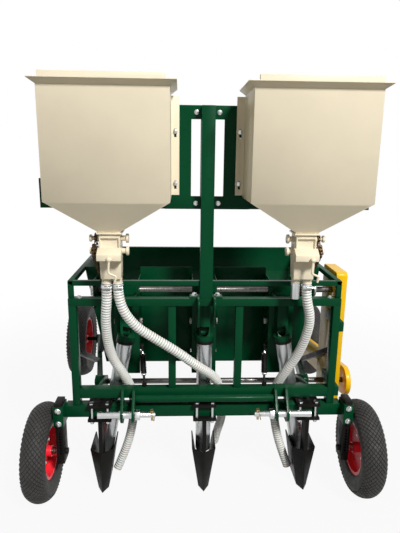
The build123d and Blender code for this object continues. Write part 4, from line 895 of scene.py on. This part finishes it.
class PLANTER_OT_meter_chains(bpy.types.Operator):
    """Roller chains and toothed sprockets of the meter drives"""
    bl_idname = "planter.meter_chains"
    bl_label = "Fit the meter chains"

    def execute(self, context):
        pitch = context.scene.planter_sizes.chain_pitch
        radius = 22 * MM
        wide = 6 * MM
        bm = bmesh.new()
        # y, z and bore of the lower and upper sprocket
        ends = ((170, 846, 12.5), (METER_Y, DRIVEN_Z, 8))
        for side in SIDES:
            low, high = (place(side * 419, y, z) for y, z, bore in ends)
            self.chain(bm, low, high, radius, wide, pitch)
            for spot, (y, z, bore) in zip((low, high), ends):
                self.sprocket(bm, spot, radius, bore * MM, wide * 0.8, 11)
            low, high = (place(side * 409.5, METER_Y, z) for z in METER_SHAFTS)
            self.chain(bm, low, high, 16 * MM, 5 * MM, pitch)
            for spot in (low, high):
                self.sprocket(bm, spot, 16 * MM, 8 * MM, 4 * MM, 8)
        bmesh.ops.recalc_face_normals(bm, faces=bm.faces)
        piece = finish_piece(bm, "meter_chain_drives", FINISH["chain"], "frame")
        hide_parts("meter_drives")
        return {"FINISHED"}

    def chain(self, bm, low, high, radius, wide, pitch):
        """Pairs of side plates and a roller for each link, round two sprockets."""
        run = high - low
        span = run.length
        way = run.normalized()
        across = Vector((1, 0, 0)).cross(way)
        total = 2 * span + 2 * math.pi * radius
        count = 2 * round(total / pitch / 2)

        def along(s):
            s %= total
            if s < span:
                return low + way * s + across * radius
            s -= span
            if s < math.pi * radius:
                turn = s / radius
                return high + across * radius * math.cos(turn) + way * radius * math.sin(turn)
            s -= math.pi * radius
            if s < span:
                return high - way * s - across * radius
            turn = (s - span) / radius
            return low - across * radius * math.cos(turn) - way * radius * math.sin(turn)

        step = total / count
        for k in range(count):
            a, b = along(k * step), along((k + 1) * step)
            add_prism(bm, a - Vector((wide / 2, 0, 0)), (1, 0, 0), 3.9 * MM, wide, 8)
            gap = wide * (0.42 if k % 2 else 0.66)
            axle = Vector((1, 0, 0))
            link = (b - a).normalized()
            turn = Matrix((axle, link, axle.cross(link))).transposed().to_4x4()
            turn = turn @ Matrix.Diagonal((1, 0.5 * step + 4.2 * MM, 4.3 * MM, 1))
            turn = turn @ Matrix.Rotation(math.pi / 2, 4, "Y") @ Matrix.Rotation(math.pi / 8, 4, "Z")
            for face in SIDES:
                bmesh.ops.create_cone(bm, cap_ends=True, segments=8, radius1=1.0, radius2=1.0, depth=1.3 * MM,
                                      matrix=Matrix.Translation((a + b) / 2 + axle * face * gap) @ turn)

    def sprocket(self, bm, hub, radius, bore, wide, teeth):
        """Toothed disc with a boss."""
        spot = hub - Vector((wide / 2, 0, 0))
        made = bmesh.ops.create_cone(bm, cap_ends=True, segments=teeth * 4, radius1=1.0, radius2=1.0, depth=wide,
                                     matrix=Matrix.Translation(hub) @ turn_to((1, 0, 0)))
        for v in made["verts"]:
            spoke = v.co - hub
            turn = math.atan2(spoke.z, spoke.y)
            reach = radius - 1.5 * MM + 3.4 * MM * math.cos(teeth * turn)
            v.co = hub + Vector((spoke.x, math.cos(turn) * reach, math.sin(turn) * reach))
        add_prism(bm, spot - Vector((2 * MM, 0, 0)), (1, 0, 0), bore + 4 * MM, wide + 4 * MM, 24, chamfer=1 * MM)


def seen_directly(tree):
    """1 where a ray comes from the camera, off a mirror or through glass, and 0 elsewhere."""
    rays = node(tree, "ShaderNodeLightPath").outputs
    seen = maths(tree, "MAXIMUM", rays["Is Camera Ray"], rays["Is Glossy Ray"])
    return maths(tree, "MAXIMUM", seen, rays["Is Transmission Ray"])


class PLANTER_OT_stage(bpy.types.Operator):
    """Pale floor, soft lights and the camera"""
    bl_idname = "planter.stage"
    bl_label = "Set the stage"

    def execute(self, context):
        scene = context.scene
        stage = scene.planter_stage
        self.floor()
        self.world(stage.sky)
        aim = Vector((0, -0.3, 0.85))
        lamps = (("key", (2.95, -5.95, 6.42), 1.6, stage.key), ("fill", (-3.4, -2.6, 2.0), 3.0, stage.fill),
                 ("back", (0.6, 3.4, 3.0), 3.0, stage.fill))
        for name, spot, size, power in lamps:
            lamp = bpy.data.lights.new(name + "_light", "AREA")
            lamp.shape = "DISK"
            lamp.size = size
            lamp.energy = power
            holder = bpy.data.objects.new(name + "_light", lamp)
            holder.location = spot
            holder.rotation_euler = (aim - Vector(spot)).to_track_quat("-Z", "Y").to_euler()
            scene.collection.objects.link(holder)
        self.camera(scene, stage)
        scene.view_settings.view_transform = "Standard"
        return {"FINISHED"}

    def camera(self, scene, stage):
        """Camera that stands and looks as the photograph's did."""
        ahead = Vector((math.sin(stage.yaw) * math.cos(stage.pitch), math.cos(stage.yaw) * math.cos(stage.pitch),
                        -math.sin(stage.pitch)))
        right = Vector((math.cos(stage.yaw), -math.sin(stage.yaw), 0))
        up = right.cross(ahead)
        level = right * math.cos(stage.roll) - up * math.sin(stage.roll)
        upright = up * math.cos(stage.roll) + right * math.sin(stage.roll)
        data = bpy.data.cameras.new("camera")
        data.sensor_width = 36.0
        data.lens = stage.lens
        data.clip_end = 200.0
        holder = bpy.data.objects.new("camera", data)
        turn = Matrix((level, upright, -ahead)).transposed().to_4x4()
        holder.matrix_world = Matrix.Translation(stage.spot) @ turn
        scene.collection.objects.link(holder)
        scene.camera = holder

    def floor(self):
        """Wide pale floor that keeps the shadow."""
        bm = bmesh.new()
        bmesh.ops.create_grid(bm, x_segments=1, y_segments=1, size=40.0)
        mesh = bpy.data.meshes.new("floor")
        bm.to_mesh(mesh)
        bm.free()
        piece = bpy.data.objects.new("floor", mesh)
        bpy.context.scene.collection.objects.link(piece)
        material = bpy.data.materials.new("matt_studio_floor")
        material.use_nodes = True
        tree = material.node_tree
        tree.nodes.clear()
        matt = node(tree, "ShaderNodeBsdfDiffuse", {"Color": opaque("#888884")})
        glow = node(tree, "ShaderNodeEmission", {"Color": (1, 1, 1, 1), "Strength": 1.0})
        coords = node(tree, "ShaderNodeTexCoord").outputs["Object"]
        far = node(tree, "ShaderNodeVectorMath", {0: coords}, operation="LENGTH").outputs["Value"]
        fade = ranged(tree, far, 0.9, 3.0, 0.93, 1.0, interpolation_type="SMOOTHSTEP")
        share = maths(tree, "MULTIPLY", seen_directly(tree), fade)
        mix = node(tree, "ShaderNodeMixShader", {0: share, 1: matt.outputs[0], 2: glow.outputs[0]})
        node(tree, "ShaderNodeOutputMaterial", {"Surface": mix.outputs[0]})
        mesh.materials.append(material)

    def world(self, strength):
        """Even white sky, full white where it is seen."""
        world = bpy.data.worlds.new("studio")
        bpy.context.scene.world = world
        world.use_nodes = True
        tree = world.node_tree
        tree.nodes.clear()
        level = ranged(tree, seen_directly(tree), 0.0, 1.0, strength, 1.0)
        sky = node(tree, "ShaderNodeBackground", {"Color": (1, 1, 1, 1), "Strength": level})
        node(tree, "ShaderNodeOutputWorld", {"Surface": sky.outputs[0]})


class PLANTER_PT_panel(bpy.types.Panel):
    """Lists the steps that dress the planter"""
    bl_label = "Garlic planter"
    bl_idname = "PLANTER_PT_panel"
    bl_space_type = "VIEW_3D"
    bl_region_type = "UI"
    bl_category = "Planter"

    def draw(self, context):
        for step in STEPS:
            self.layout.operator(step.bl_idname)
        for group in (context.scene.planter_colours, context.scene.planter_sizes, context.scene.planter_stage):
            for key in group.bl_rna.properties.keys():
                if key not in ("rna_type", "name"):
                    self.layout.prop(group, key)


GROUPS = (("planter_colours", PlanterColours), ("planter_sizes", PlanterSizes), ("planter_stage", PlanterStage))
STEPS = (PLANTER_OT_paint, PLANTER_OT_hoses, PLANTER_OT_openers, PLANTER_OT_seed_tubes, PLANTER_OT_meters,
         PLANTER_OT_tyres, PLANTER_OT_wheel_fittings, PLANTER_OT_fasteners, PLANTER_OT_linch_pins,
         PLANTER_OT_hose_clamps, PLANTER_OT_tension_springs, PLANTER_OT_meter_chains, PLANTER_OT_stage)


def register():
    for name, group in GROUPS:
        bpy.utils.register_class(group)
        setattr(bpy.types.Scene, name, PointerProperty(type=group))
    for step in (*STEPS, PLANTER_PT_panel):
        bpy.utils.register_class(step)


def unregister():
    for step in reversed((*STEPS, PLANTER_PT_panel)):
        bpy.utils.unregister_class(step)
    for name, group in reversed(GROUPS):
        delattr(bpy.types.Scene, name)
        bpy.utils.unregister_class(group)


def main():
    register()
    for step in STEPS:
        family, action = step.bl_idname.split(".")
        getattr(getattr(bpy.ops, family), action)()


if __name__ == "__main__":
    main()
